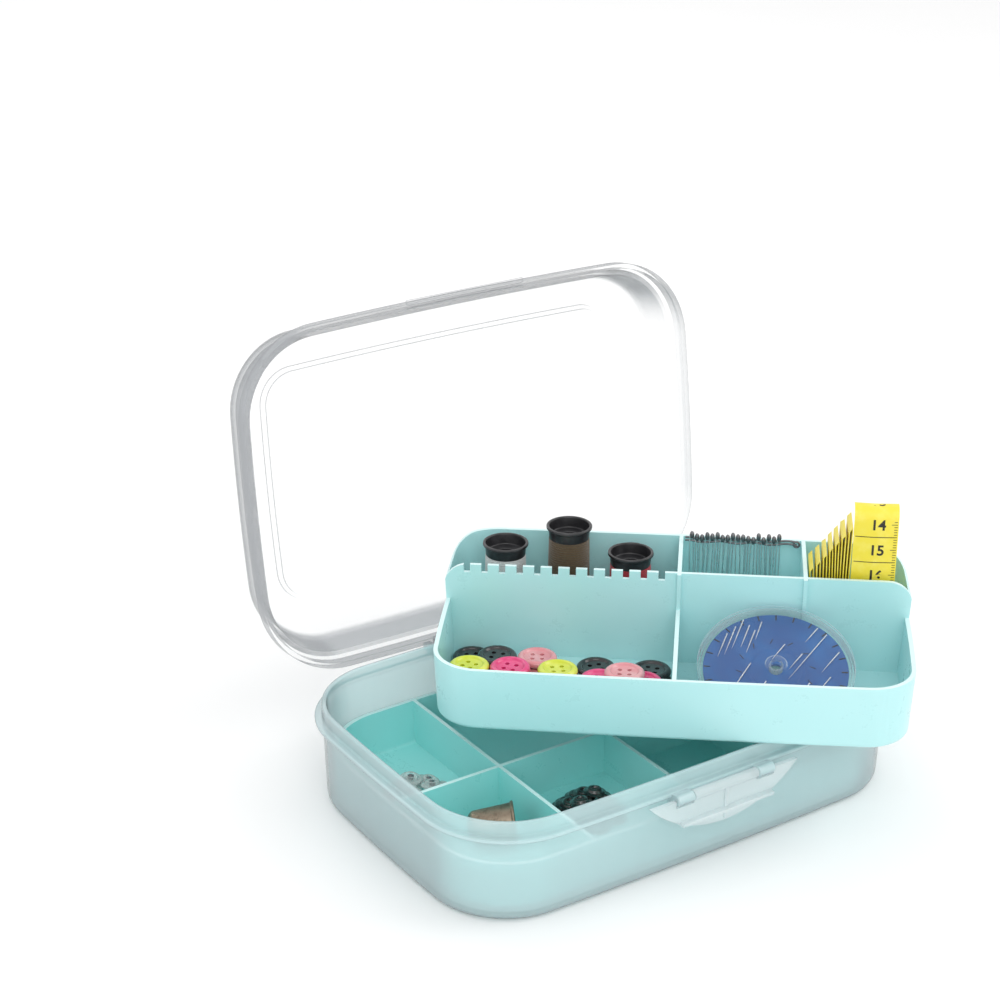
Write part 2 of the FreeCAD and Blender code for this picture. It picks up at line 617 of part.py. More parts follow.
def wheel_disc():
    """Blue disc that the needles lie on."""
    disc = Part.makeCylinder(WHEEL_DISC_RADIUS, WHEEL_DISC_THICK, Vector(0, 0, WHEEL_WALL))
    return disc.cut(Part.makeCylinder(WHEEL_HUB_RADIUS, WHEEL_THICK))


def wheel_hub():
    """Rivet through the middle, which the cover turns on."""
    post = Part.makeCylinder(WHEEL_HUB_RADIUS, WHEEL_THICK - WHEEL_WALL + SEAT_GAP, Vector(0, 0, WHEEL_WALL))
    head = Part.makeCylinder(WHEEL_RIVET_RADIUS, WHEEL_WALL / 2, Vector(0, 0, WHEEL_THICK + SEAT_GAP))
    return post.fuse(head)


def wheel_cover():
    """Clear cover that turns, with one notch that lets a needle out."""
    base = WHEEL_THICK - WHEEL_COVER_THICK
    disc = Part.makeCylinder(WHEEL_RADIUS, WHEEL_COVER_THICK, Vector(0, 0, base))
    bore = Part.makeCylinder(WHEEL_HUB_RADIUS + PIN_CLEARANCE, WHEEL_THICK, Vector(0, 0, 0))
    low = (-WHEEL_NOTCH / 2, -WHEEL_RADIUS - 1, 0)
    notch = box(low, (WHEEL_NOTCH / 2, WHEEL_NEEDLE_LENGTH / 2 - WHEEL_DISC_RADIUS, WHEEL_THICK + 1))
    return disc.cut(bore).cut(notch)


def wheel_needles():
    """Needles lying like spokes on the disc."""
    height = WHEEL_WALL + WHEEL_DISC_THICK + WHEEL_NEEDLE_RADIUS
    end = WHEEL_DISC_RADIUS - WHEEL_NEEDLE_RADIUS * 4
    needles = []
    for index in range(WHEEL_NEEDLES):
        angle = 2 * math.pi * index / WHEEL_NEEDLES
        direction = Vector(math.cos(angle), math.sin(angle), 0)
        start = direction * (end - WHEEL_NEEDLE_LENGTH) + Vector(0, 0, height)
        finish = direction * end + Vector(0, 0, height)
        needles.append(rod(start, finish, WHEEL_NEEDLE_RADIUS))
    return Part.makeCompound(needles)


def button(foot):
    """Four-hole button with a dished middle."""
    body = Part.makeCylinder(BUTTON_RADIUS, BUTTON_THICK)
    dish_low = Vector(0, 0, BUTTON_THICK - BUTTON_DISH)
    body = body.cut(Part.makeCylinder(BUTTON_RADIUS - BUTTON_RIM, BUTTON_THICK, dish_low))
    for sx in (-1, 1):
        for sy in (-1, 1):
            corner = Vector(sx * BUTTON_HOLE_PITCH, sy * BUTTON_HOLE_PITCH, -1)
            body = body.cut(Part.makeCylinder(BUTTON_HOLE_RADIUS, BUTTON_THICK + 2, corner))
    body.translate(foot)
    return body


def button_heap():
    """Low stacks of buttons in the front cell, by colour."""
    pitch = BUTTON_THICK + SEAT_GAP
    near = TRAY_WALL + TRAY_DRAFT + HEAP_IN_FRONT + BUTTON_RADIUS
    heap = {}
    for colour, x, behind, lowest, layers in BUTTON_STACKS:
        for layer in range(lowest, lowest + layers):
            foot = Vector(x, near + behind, CELL_FLOOR + layer * pitch)
            heap.setdefault(colour, []).append(button(foot))
    return {colour: Part.makeCompound(solids) for colour, solids in heap.items()}


def pin_x(index):
    """Place of one pin along the middle rear cell."""
    first = TRAY_SPLIT_X[0] + TRAY_WALL / 2 + PIN_ROW_START
    last = TRAY_SPLIT_X[1] - TRAY_WALL / 2 - PIN_ROW_END
    return first + (last - first) * index / (PIN_COUNT - 1)


def pin_row_y():
    """Depth of the row of pins, in front of the tray's rear wall."""
    return TRAY_DEPTH - TRAY_DRAFT - TRAY_WALL - PIN_STRIP_THICK


def pin_ends(index):
    """Foot and head of one pin: each stands a little higher or lower than the next."""
    rise = PIN_UNEVEN * math.sin(PIN_UNEVEN_STEP * index)
    foot = Vector(pin_x(index), pin_row_y(), CELL_FLOOR + PIN_FOOT + rise)
    return foot, foot + Vector(0, 0, PIN_LENGTH)


def pins():
    """Row of pins standing through their strip, heads up."""
    row = []
    for index in range(PIN_COUNT):
        foot, head = pin_ends(index)
        row.append(rod(foot, head, PIN_RADIUS).fuse(Part.makeSphere(PIN_HEAD_RADIUS, head)))
    return Part.makeCompound(row)


def pin_strip():
    """Strip that the pins are stuck through, with a hole for each."""
    top = CELL_FLOOR + PIN_LENGTH - PIN_HEAD_RADIUS - SEAT_GAP
    low_x = TRAY_SPLIT_X[0] + TRAY_WALL / 2 + SEAT_GAP
    high_x = TRAY_SPLIT_X[1] - TRAY_WALL / 2 - SEAT_GAP
    y = pin_row_y()
    half = PIN_STRIP_THICK / 2
    strip = box((low_x, y - half, top - PIN_STRIP_HEIGHT), (high_x, y + half, top))
    for index in range(PIN_COUNT):
        foot, head = pin_ends(index)
        strip = strip.cut(rod(foot, head, PIN_RADIUS + PIN_HOLE_CLEARANCE))
    return strip


def thimble():
    """Thimble lying on its side, mouth towards +X."""
    outer = Part.makeCone(THIMBLE_TIP_RADIUS, THIMBLE_RADIUS, THIMBLE_LENGTH)
    tip_edges = [edge for edge in outer.Edges if edge.BoundBox.ZMax < 1e-4]
    outer = outer.makeFillet(THIMBLE_CROWN, tip_edges)
    bead_centre = Vector(0, 0, THIMBLE_LENGTH - THIMBLE_BEAD)
    bead = Part.makeTorus(THIMBLE_RADIUS - THIMBLE_BEAD / 3, THIMBLE_BEAD, bead_centre)
    tip = THIMBLE_TIP_RADIUS - THIMBLE_WALL
    mouth = THIMBLE_RADIUS - THIMBLE_WALL
    inner = Part.makeCone(tip, mouth, THIMBLE_LENGTH, Vector(0, 0, 2 * THIMBLE_WALL))
    shape = outer.fuse(bead).cut(inner)
    flare = THIMBLE_RADIUS + THIMBLE_BEAD - THIMBLE_TIP_RADIUS
    slope = math.degrees(math.atan2(flare, THIMBLE_LENGTH))
    shape.rotate(Vector(0, 0, 0), Vector(0, 1, 0), 90 - slope)
    shape.rotate(Vector(0, 0, 0), Vector(0, 0, 1), THIMBLE_TURN)
    rise = INSERT_FLOOR + SEAT_GAP - shape.BoundBox.ZMin
    shape.translate(Vector(*THIMBLE_PLACE, rise))
    return shape


def stud_places(middle, rings):
    """Places of press studs in a loose heap: rings of a few, one above another."""
    places = []
    for layer, (count, spread) in enumerate(rings):
        height = INSERT_FLOOR + SEAT_GAP + layer * (STUD_THICK + SEAT_GAP)
        for index in range(count):
            angle = 2 * math.pi * (index + RING_TWIST * layer) / count
            offset = Vector(spread * math.cos(angle), spread * math.sin(angle), height)
            places.append(Vector(*middle, 0) + offset)
    return places


def stud(place):
    """Domed press stud with a hole for its centre."""
    body = Part.makeCone(STUD_RADIUS, STUD_TOP_RADIUS, STUD_THICK, place)
    return body.cut(Part.makeCylinder(STUD_CORE_RADIUS, STUD_THICK, place))


def studs(places):
    """A heap of press studs."""
    return Part.makeCompound([stud(place) for place in places])


def stud_centres(places):
    """The small dark centres of a heap of press studs."""
    return Part.makeCompound(
        [Part.makeCylinder(STUD_CORE_RADIUS, STUD_THICK, place) for place in places]
    )


def build():
    """Every piece by its node name."""
    clear = stud_places(CLEAR_HEAP, CLEAR_RINGS)
    black = stud_places(BLACK_HEAP, BLACK_RINGS)
    pieces = {
        "outer_box": outer_box(),
        "lid": lid(),
        "clasp_flap": clasp_flap(),
        "compartment_insert": compartment_insert(),
        "thimble": thimble(),
        "clear_press_studs": studs(clear),
        "press_stud_centres": stud_centres(clear),
        "black_press_studs": studs(black),
        "upper_tray": in_tray(upper_tray()),
        "tape_folds": in_tray(tape_folds()),
        "tape_front_strip": in_tray(tape_front_strip()),
        "tape_end_clip": in_tray(tape_end_clip()),
        "pins": in_tray(pins()),
        "pin_strip": in_tray(pin_strip()),
    }
    for name in SPOOLS:
        pieces["spool_core_" + name] = in_tray(spool_core(name))
        pieces["spool_thread_" + name] = in_tray(spool_thread(name))
    for maker in (wheel_case, wheel_disc, wheel_hub, wheel_cover, wheel_needles):
        pieces["needle_" + maker.__name__] = in_tray(lean_wheel(maker()))
    for colour, shape in button_heap().items():
        pieces["buttons_" + colour] = in_tray(shape)
    return pieces


def main():
    """Write one file for each piece."""
    os.makedirs("parts", exist_ok=True)
    for name, shape in build().items():
        shape.exportStep("parts/" + name + ".step")


main()
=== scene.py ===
"""Looks of a clear sewing box with a compartment insert and a lift-out tray, built round its frame.

Sizes are in millimetres in the row frame and become metres when a mesh is made. The tray and all
that lies in it are worked out in the tray's own frame: X along it, Y from its front, Z from its
underside.
"""

import json
import logging
import math
from dataclasses import dataclass
from enum import Enum
from typing import Any, Sequence

import bmesh
import bpy
import numpy as np
from mathutils import Matrix, Vector

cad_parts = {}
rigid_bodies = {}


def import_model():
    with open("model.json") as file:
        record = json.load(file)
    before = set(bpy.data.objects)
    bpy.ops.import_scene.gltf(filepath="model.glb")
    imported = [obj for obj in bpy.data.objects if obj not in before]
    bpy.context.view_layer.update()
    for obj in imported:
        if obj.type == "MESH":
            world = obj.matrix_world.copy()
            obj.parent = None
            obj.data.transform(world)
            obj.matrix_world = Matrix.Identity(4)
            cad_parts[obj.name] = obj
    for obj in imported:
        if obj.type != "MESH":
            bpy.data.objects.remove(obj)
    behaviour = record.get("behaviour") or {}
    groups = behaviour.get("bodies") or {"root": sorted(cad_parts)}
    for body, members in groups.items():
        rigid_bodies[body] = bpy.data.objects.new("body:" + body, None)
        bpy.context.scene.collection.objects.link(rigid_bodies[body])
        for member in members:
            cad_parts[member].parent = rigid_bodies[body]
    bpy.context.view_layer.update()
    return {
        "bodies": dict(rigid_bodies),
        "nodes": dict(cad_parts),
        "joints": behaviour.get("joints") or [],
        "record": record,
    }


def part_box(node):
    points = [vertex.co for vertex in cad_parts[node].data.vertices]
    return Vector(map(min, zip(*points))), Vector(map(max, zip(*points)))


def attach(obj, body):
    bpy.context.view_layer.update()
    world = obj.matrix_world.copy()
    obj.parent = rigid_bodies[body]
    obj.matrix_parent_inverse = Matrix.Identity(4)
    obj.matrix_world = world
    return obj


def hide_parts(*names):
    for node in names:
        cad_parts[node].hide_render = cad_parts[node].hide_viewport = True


LOG = logging.getLogger("sewing_box")
MM = 0.001
MERGE = 2e-6
CENTIMETRE = 10
Colour = tuple[float, float, float]


# ------------------------------------------------------------------ shader building
class Value:
    """A number socket that takes part in arithmetic."""

    def __init__(self, shader: "Shader", socket: bpy.types.NodeSocket) -> None:
        """Keeps the socket and the shader that it belongs to."""
        self.shader = shader
        self.socket = socket

    def apply(self, operation: str, *others: Any, clamp: bool = False) -> "Value":
        """Adds one Math node.

        Args:
            operation: the Math node's operation.
            others: second and third operands, values or numbers.
            clamp: whether the result stays between 0 and 1.

        Returns:
            The node's result.
        """
        return self.shader.maths(operation, (self, *others), clamp)

    def __add__(self, other: Any) -> "Value":
        """Sum."""
        return self.apply("ADD", other)

    __radd__ = __add__

    def __sub__(self, other: Any) -> "Value":
        """Difference."""
        return self.apply("SUBTRACT", other)

    def __rsub__(self, other: Any) -> "Value":
        """Difference from a plain number."""
        return self.shader.maths("SUBTRACT", (other, self))

    def __mul__(self, other: Any) -> "Value":
        """Product."""
        return self.apply("MULTIPLY", other)

    __rmul__ = __mul__

    def sine(self) -> "Value":
        """Sine of the value in radians."""
        return self.apply("SINE")

    def between(self, low: float, high: float) -> "Value":
        """Smooth step from 0 at low to 1 at high."""
        sockets = {"Value": self, "From Min": low, "From Max": high}
        step = self.shader.node("MapRange", {"interpolation_type": "SMOOTHSTEP"}, sockets)
        return Value(self.shader, step.outputs[0])


class Shader:
    """One material's node tree with a principled surface."""

    def __init__(self, name: str) -> None:
        """Starts an empty material of that name."""
        self.material = bpy.data.materials.new(name)
        self.material.use_nodes = True
        self.tree = self.material.node_tree
        self.tree.nodes.clear()

    def node(self, kind: str, settings: dict[str, Any] | None = None,
             sockets: dict[Any, Any] | None = None) -> bpy.types.Node:
        """Adds any node.

        Args:
            kind: the node's type without its ShaderNode prefix.
            settings: its properties, set first.
            sockets: values or links of its inputs by name or number.

        Returns:
            The node.
        """
        made = self.tree.nodes.new("ShaderNode" + kind)
        for key, value in (settings or {}).items():
            setattr(made, key, value)
        for key, value in (sockets or {}).items():
            if isinstance(value, Value):
                value = value.socket
            if isinstance(value, bpy.types.NodeSocket):
                self.tree.links.new(value, made.inputs[key])
            else:
                made.inputs[key].default_value = value
        return made

    def maths(self, operation: str, operands: Sequence[Any], clamp: bool = False) -> Value:
        """One Math node over values or numbers."""
        settings = {"operation": operation, "use_clamp": clamp}
        made = self.node("Math", settings, dict(enumerate(operands)))
        return Value(self, made.outputs[0])

    def place(self, scale: Sequence[float] = (1.0, 1.0, 1.0), turn: float = 0.0,
              surface: bool = False) -> bpy.types.NodeSocket:
        """Coordinates of a pattern.

        Args:
            scale: how far each axis is stretched.
            turn: rotation about Z in degrees.
            surface: whether they come from the piece's own UV map.

        Returns:
            The vector socket.
        """
        source = self.node("TexCoord").outputs["UV" if surface else "Object"]
        sockets = {"Vector": source, "Scale": scale, "Rotation": (0.0, 0.0, math.radians(turn))}
        return self.node("Mapping", None, sockets).outputs[0]

    def noise(self, scale: float, detail: float = 2.0, vector: Any = None) -> Value:
        """Noise of about that many features in a metre, from 0 to 1."""
        sockets = {"Vector": vector or self.place(), "Scale": scale, "Detail": detail}
        return Value(self, self.node("TexNoise", None, sockets).outputs["Fac"])

    def axis(self, vector: Any, index: int) -> Value:
        """One component of a vector."""
        split = self.node("SeparateXYZ", None, {0: vector})
        return Value(self, split.outputs[index])

    def mix(self, factor: Any, first: Any, second: Any) -> bpy.types.NodeSocket:
        """Colour between two colours or colour sockets."""
        sockets = {0: factor}
        for key, value in ((6, first), (7, second)):
            sockets[key] = value if isinstance(value, bpy.types.NodeSocket) else (*value, 1.0)
        made = self.node("Mix", {"data_type": "RGBA"}, sockets)
        return made.outputs[2]

    def bump(self, height: Any, strength: float, distance: float) -> bpy.types.NodeSocket:
        """Normal from a height; distance is in metres."""
        sockets = {"Height": height, "Strength": strength, "Distance": distance}
        return self.node("Bump", None, sockets).outputs[0]

    def surface(self, sockets: dict[str, Any]) -> bpy.types.Material:
        """Finishes the material with a principled surface of these sockets."""
        skin = self.node("BsdfPrincipled", None, sockets)
        self.node("OutputMaterial", None, {"Surface": skin.outputs[0]})
        return self.material


# ------------------------------------------------------------------ finishes
@dataclass(frozen=True)
class ClearPlastic:
    """Thin clear plastic: see-through face on, with painted grey shade on slanted faces and painted dark
    shade lines where a surface turns away from the view.
    """

    name: str
    haze: float
    edge: float
    tint: Colour
    # colour of the painted grey shade on slanted faces
    edge_tint: Colour
    # colour of the painted dark shade lines at grazing view
    line_tint: Colour = (0.16, 0.18, 0.2)
    roughness: float = 0.1

    def material(self) -> bpy.types.Material:
        """The finish as a material."""
        shader = Shader(self.name)
        facing = Value(shader, shader.node("LayerWeight", None, {"Blend": 0.5}).outputs["Facing"])
        flow = shader.noise(22.0, 3.0, shader.place((1.0, 1.0, 0.3)))
        grain = shader.noise(900.0, 2.0)
        slant = facing.between(0.26, 0.62)
        line = facing.between(0.66, 0.97)
        cover = slant * (self.edge - self.haze) + self.haze + line * (0.97 - self.edge)
        # painted grey shade: slanted faces are mixed towards the slant shade colour by view angle
        body = shader.mix(slant, self.tint, self.edge_tint)
        return shader.surface({
            # painted dark shade lines where the surface turns away from the view
            "Base Color": shader.mix(line, body, self.line_tint),
            "Roughness": grain * 0.08 + (self.roughness - 0.04),
            "Alpha": (cover + (flow - 0.5) * (0.3 * self.haze)).apply("MAXIMUM", 0.0, clamp=True),
            "IOR": 1.49,
            "Specular IOR Level": 0.6,
            "Normal": shader.bump(flow, 0.12, 0.004),
        })


@dataclass(frozen=True)
class MouldedPlastic:
    """Solid moulded plastic with a slow drift of colour, a fine skin and a painted highlight on upward faces
    at the rim tops.
    """

    name: str
    colour: Colour
    paler: Colour
    # colour of the painted highlight on upward faces at the rim tops
    rim: Colour
    # height in millimetres from which the painted rim highlight is mixed in
    rim_low: float
    roughness: float = 0.3

    def material(self) -> bpy.types.Material:
        """The finish as a material."""
        shader = Shader(self.name)
        drift = shader.noise(14.0, 2.0)
        grain = shader.noise(1400.0, 2.0)
        scuff = shader.noise(160.0, 5.0, shader.place((1.0, 0.25, 1.0), 37.0))
        # painted highlight: upward faces from the rim height up are mixed towards the rim colour
        up = shader.axis(shader.node("TexCoord").outputs["Normal"], 2).between(0.45, 0.95)
        high = shader.axis(shader.place(), 2).between(self.rim_low * MM, (self.rim_low + 1.5) * MM)
        body = shader.mix(drift.between(0.35, 0.7), self.colour, self.paler)
        return shader.surface({
            "Base Color": shader.mix(up * high * 0.85, body, self.rim),
            "Roughness": scuff * 0.16 + grain * 0.06 + (self.roughness - 0.11),
            "IOR": 1.5,
            "Coat Weight": 0.15,
            "Coat Roughness": 0.12,
            "Subsurface Weight": 0.08,
            "Subsurface Radius": (0.6, 1.0, 1.0),
            "Subsurface Scale": 0.003,
            "Normal": shader.bump(grain * 0.5 + scuff * 0.5, 0.08, 0.0004),
        })


@dataclass(frozen=True)
class Thread:
    """Spun thread: fine twisted fibres along the windings, painted shade in the grooves between windings, and
    a soft sheen.
    """

    name: str
    colour: Colour
    # dark colour for both the painted groove shade and the darker fibres and patches
    shadow: Colour

    def material(self) -> bpy.types.Material:
        """The finish as a material."""
        shader = Shader(self.name)
        strands = shader.noise(1.0, 4.0, shader.place((90.0, 420.0, 1.0), 0.0, True))
        patch = shader.noise(160.0, 2.0)
        # painted shade: bands at the winding spacing darken the grooves between windings
        groove = shader.axis(shader.node("TexCoord").outputs["UV"], 1) * (2 * math.pi * 40)
        crest = groove.sine() * 0.5 + 0.5
        body = shader.mix(strands.between(0.3, 0.75) * (crest * 0.5 + 0.5), self.shadow, self.colour)
        return shader.surface({
            "Base Color": shader.mix(patch.between(0.4, 0.8) * 0.25, body, self.shadow),
            "Roughness": strands * 0.2 + 0.62,
            "Sheen Weight": 0.3,
            "Normal": shader.bump(strands, 0.5, 0.0003),
        })


@dataclass(frozen=True)
class Metal:
    """Drawn or pressed metal with fine scratches and a little tarnish."""

    name: str
    colour: Colour
    tarnish: Colour
    roughness: float
    worn: float = 0.4

    def material(self) -> bpy.types.Material:
        """The finish as a material."""
        shader = Shader(self.name)
        scratch = shader.noise(1.0, 3.0, shader.place((1500.0, 1500.0, 120.0), 20.0))
        stain = shader.noise(420.0, 4.0)
        return shader.surface({
            "Base Color": shader.mix(stain.between(0.45, 0.8) * self.worn, self.colour, self.tarnish),
            "Metallic": 1.0,
            "Roughness": scratch * 0.2 + stain * 0.12 + (self.roughness - 0.14),
            "Normal": shader.bump(scratch, 0.12, 0.0002),
        })


@dataclass(frozen=True)
class CoatedWeave:
    """Woven tape under a soft coating: crossing yarns, thin rubbed patches."""

    name: str
    colour: Colour
    rubbed: Colour

    def material(self) -> bpy.types.Material:
        """The finish as a material."""
        shader = Shader(self.name)
        spot = shader.place((1.0, 1.0, 1.0), 0.0, True)
        warp = (shader.axis(spot, 0) * 420.0).sine()
        weft = (shader.axis(spot, 1) * 900.0).sine()
        wear = shader.noise(260.0, 4.0)
        return shader.surface({
            "Base Color": shader.mix(wear.between(0.4, 0.8) * 0.45, self.colour, self.rubbed),
            "Roughness": wear * 0.2 + 0.36,
            "Coat Weight": 0.2,
            "Coat Roughness": 0.3,
            "Normal": shader.bump(warp * weft * 0.5 + wear * 0.5, 0.25, 0.0002),
        })


@dataclass(frozen=True)
class Enamel:
    """Dense glossy colour with a faint swirl, for buttons, studs, caps and printing."""

    name: str
    colour: Colour
    swirl: Colour
    roughness: float = 0.2
    swirl_size: float = 180.0
    coat: float = 0.4

    def material(self) -> bpy.types.Material:
        """The finish as a material."""
        shader = Shader(self.name)
        wander = shader.noise(self.swirl_size, 4.0, shader.place((1.0, 0.5, 1.0), 31.0))
        dust = shader.noise(1800.0, 3.0)
        return shader.surface({
            "Base Color": shader.mix(wander.between(0.35, 0.75), self.colour, self.swirl),
            "Roughness": wander * 0.12 + dust * 0.1 + (self.roughness - 0.1),
            "Coat Weight": self.coat,
            "Coat Roughness": 0.08,
            "Normal": shader.bump(dust, 0.06, 0.0002),
        })


class Finish(Enum):
    """Every finish on the object, with the record's slot that each belongs to."""

    # In each clear plastic the second colour is painted grey shade on slanted faces and the third is painted
    # dark shade lines at grazing view.
    BOX = ("clear_plastic", ClearPlastic("clear_box", 0.46, 0.64, (0.66, 0.87, 0.89), (0.46, 0.57, 0.59),
                                        (0.1, 0.12, 0.13)))
    LID = ("clear_plastic", ClearPlastic("clear_lid", 0.03, 0.62, (0.8, 0.82, 0.85), (0.26, 0.28, 0.3),
                                        (0.08, 0.09, 0.1)))
    CLASP = ("frosted_clear", ClearPlastic("milky_clasp", 0.34, 0.5, (0.82, 0.9, 0.91), (0.66, 0.73, 0.75),
                                           (0.4, 0.45, 0.47), 0.22))
    CASE = ("clear_plastic", ClearPlastic("clear_case", 0.03, 0.5, (0.85, 0.9, 0.95), (0.7, 0.8, 0.86),
                                          (0.4, 0.5, 0.58), 0.06))
    STUD_CLEAR = ("frosted_clear", ClearPlastic(
        "clear_studs", 0.25, 0.7, (0.8, 0.83, 0.82), (0.6, 0.66, 0.64), (0.3, 0.34, 0.33), 0.2))
    # In each moulded plastic the third colour is the painted highlight on upward faces at the rim tops.
    INSERT = ("turquoise_plastic", MouldedPlastic(
        "turquoise_insert", (0.31, 0.78, 0.76), (0.37, 0.82, 0.8), (0.68, 0.92, 0.91), 18.0))
    TRAY = ("turquoise_plastic", MouldedPlastic(
        "turquoise_tray", (0.44, 0.77, 0.78), (0.48, 0.8, 0.81), (0.72, 0.92, 0.92), 60.0))
    SPOOL = ("black_plastic", Enamel(
        "black_spool", (0.012, 0.012, 0.014), (0.035, 0.035, 0.038), 0.34, 260.0, 0.1))
    # In each thread the second colour serves both the painted shade in the grooves between windings and the
    # darker fibres and patches.
    WHITE = ("white_thread", Thread("white_thread", (0.86, 0.86, 0.84), (0.5, 0.5, 0.5)))
    BROWN = ("brown_thread", Thread("brown_thread", (0.14, 0.09, 0.03), (0.045, 0.025, 0.01)))
    RED = ("red_thread", Thread("red_thread", (0.74, 0.03, 0.06), (0.3, 0.01, 0.02)))
    TAPE = ("yellow_tape", CoatedWeave("yellow_tape", (0.9, 0.74, 0.05), (0.97, 0.86, 0.2)))
    INK = ("black_plastic", Enamel("printed_ink", (0.015, 0.013, 0.01), (0.05, 0.045, 0.03), 0.5, 900.0, 0.0))
    STEEL = ("bright_steel", Metal("bright_steel", (0.78, 0.79, 0.81), (0.45, 0.46, 0.5), 0.28))
    DARK = ("dark_steel", Metal("dark_steel", (0.2, 0.2, 0.21), (0.05, 0.05, 0.06), 0.42))
    COPPER = ("copper_steel", Metal("copper_thimble", (0.3, 0.24, 0.18), (0.12, 0.085, 0.06), 0.4, 0.6))
    CARD = ("blue_card", Enamel("blue_card", (0.001, 0.08, 0.3), (0.005, 0.13, 0.4), 0.45, 120.0, 0.1))
    STUD_BLACK = ("black_stud", Enamel(
        "black_studs", (0.012, 0.012, 0.012), (0.05, 0.06, 0.05), 0.16, 500.0, 0.8))
    YELLOW = ("yellow_button", Enamel("yellow_buttons", (0.62, 0.68, 0.03), (0.78, 0.8, 0.14)))
    BLACK = ("black_button", Enamel("black_buttons", (0.008, 0.008, 0.009), (0.03, 0.03, 0.032), 0.16))
    DEEP_PINK = ("deep_pink_button", Enamel("deep_pink_buttons", (0.72, 0.03, 0.17), (0.8, 0.08, 0.26)))
    PALE_PINK = ("pale_pink_button", Enamel("pale_pink_buttons", (0.74, 0.27, 0.3), (0.8, 0.4, 0.42)))

    def __init__(self, slot: str, look: Any) -> None:
        """Keeps the record's slot and the finish."""
        self.slot = slot
        self.look = look


class Workshop:
    """Makes each finish once and turns surfaces into finished pieces."""

    def __init__(self, frame: dict[str, Any]) -> None:
        """Keeps the frame that the pieces ride on."""
        self.nodes = frame["nodes"]
        self.made: dict[Finish, bpy.types.Material] = {}

    def material(self, finish: Finish) -> bpy.types.Material:
        """The finish's material, made when it is first asked for."""
        if finish not in self.made:
            self.made[finish] = finish.look.material()
        return self.made[finish]

    def piece(self, name: str, patches: Sequence["Patch"], finish: Finish, body: str,
              nodes: Sequence[str] = (), crease: float = 38.0) -> bpy.types.Object:
        """Turns surfaces into one piece that rides on a body.

        Args:
            name: the piece's name.
            patches: its surfaces in millimetres.
            finish: its finish.
            body: the body that it moves with.
            nodes: the frame's nodes that it stands for.
            crease: angle in degrees past which an edge stays sharp.

        Returns:
            The piece.
        """
        mesh, work = Patch.joined(patches).sealed(name)
        self._smooth(work, crease)
        work.to_mesh(mesh)
        work.free()
        return self._finish(name, mesh, finish, body, nodes)

    def softened(self, name: str, node: str, finish: Finish, body: str, radius: float,
                 steps: int = 2) -> bpy.types.Object:
        """A merged copy of a frame node with its sharp edges rounded.

        Args:
            name: the piece's name.
            node: the node that it copies and stands for.
            finish: its finish.
            body: the body that it moves with.
            radius: width of the rounding in millimetres.
            steps: faces across each rounding.

        Returns:
            The piece.
        """
        mesh = self.nodes[node].data.copy()
        mesh.name = name
        work = bmesh.new()
        work.from_mesh(mesh)
        bmesh.ops.remove_doubles(work, verts=work.verts, dist=3e-6)
        bmesh.ops.dissolve_degenerate(work, dist=2e-6, edges=work.edges)
        bmesh.ops.dissolve_limit(work, angle_limit=math.radians(0.6), verts=work.verts, edges=work.edges)
        bend = math.radians(33)
        sharp = [edge for edge in work.edges if edge.is_manifold and edge.calc_face_angle() > bend]
        bmesh.ops.bevel(work, geom=sharp, offset=radius * MM, offset_type="OFFSET", segments=steps,
                        profile=0.5, affect="EDGES", clamp_overlap=True)
        self._smooth(work, 50.0)
        work.to_mesh(mesh)
        work.free()
        piece = self._finish(name, mesh, finish, body, (node,))
        evened = piece.modifiers.new("evened", "WEIGHTED_NORMAL")
        evened.keep_sharp = True
        return piece

    @staticmethod
    def _smooth(work: bmesh.types.BMesh, crease: float) -> None:
        """Smooth shading everywhere but across edges sharper than the crease."""
        for face in work.faces:
            face.smooth = True
        for edge in work.edges:
            edge.smooth = edge.calc_face_angle(0.0) < math.radians(crease)

    def _finish(self, name: str, mesh: bpy.types.Mesh, finish: Finish, body: str,
                nodes: Sequence[str]) -> bpy.types.Object:
        """Links the mesh as a piece, dresses it and hangs it on its body."""
        mesh.materials.clear()
        mesh.materials.append(self.material(finish))
        piece = placed(name, mesh)
        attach(piece, body)
        if nodes:
            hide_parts(*nodes)
        LOG.info("%s: %d faces on %s", name, len(mesh.polygons), body)
        return piece


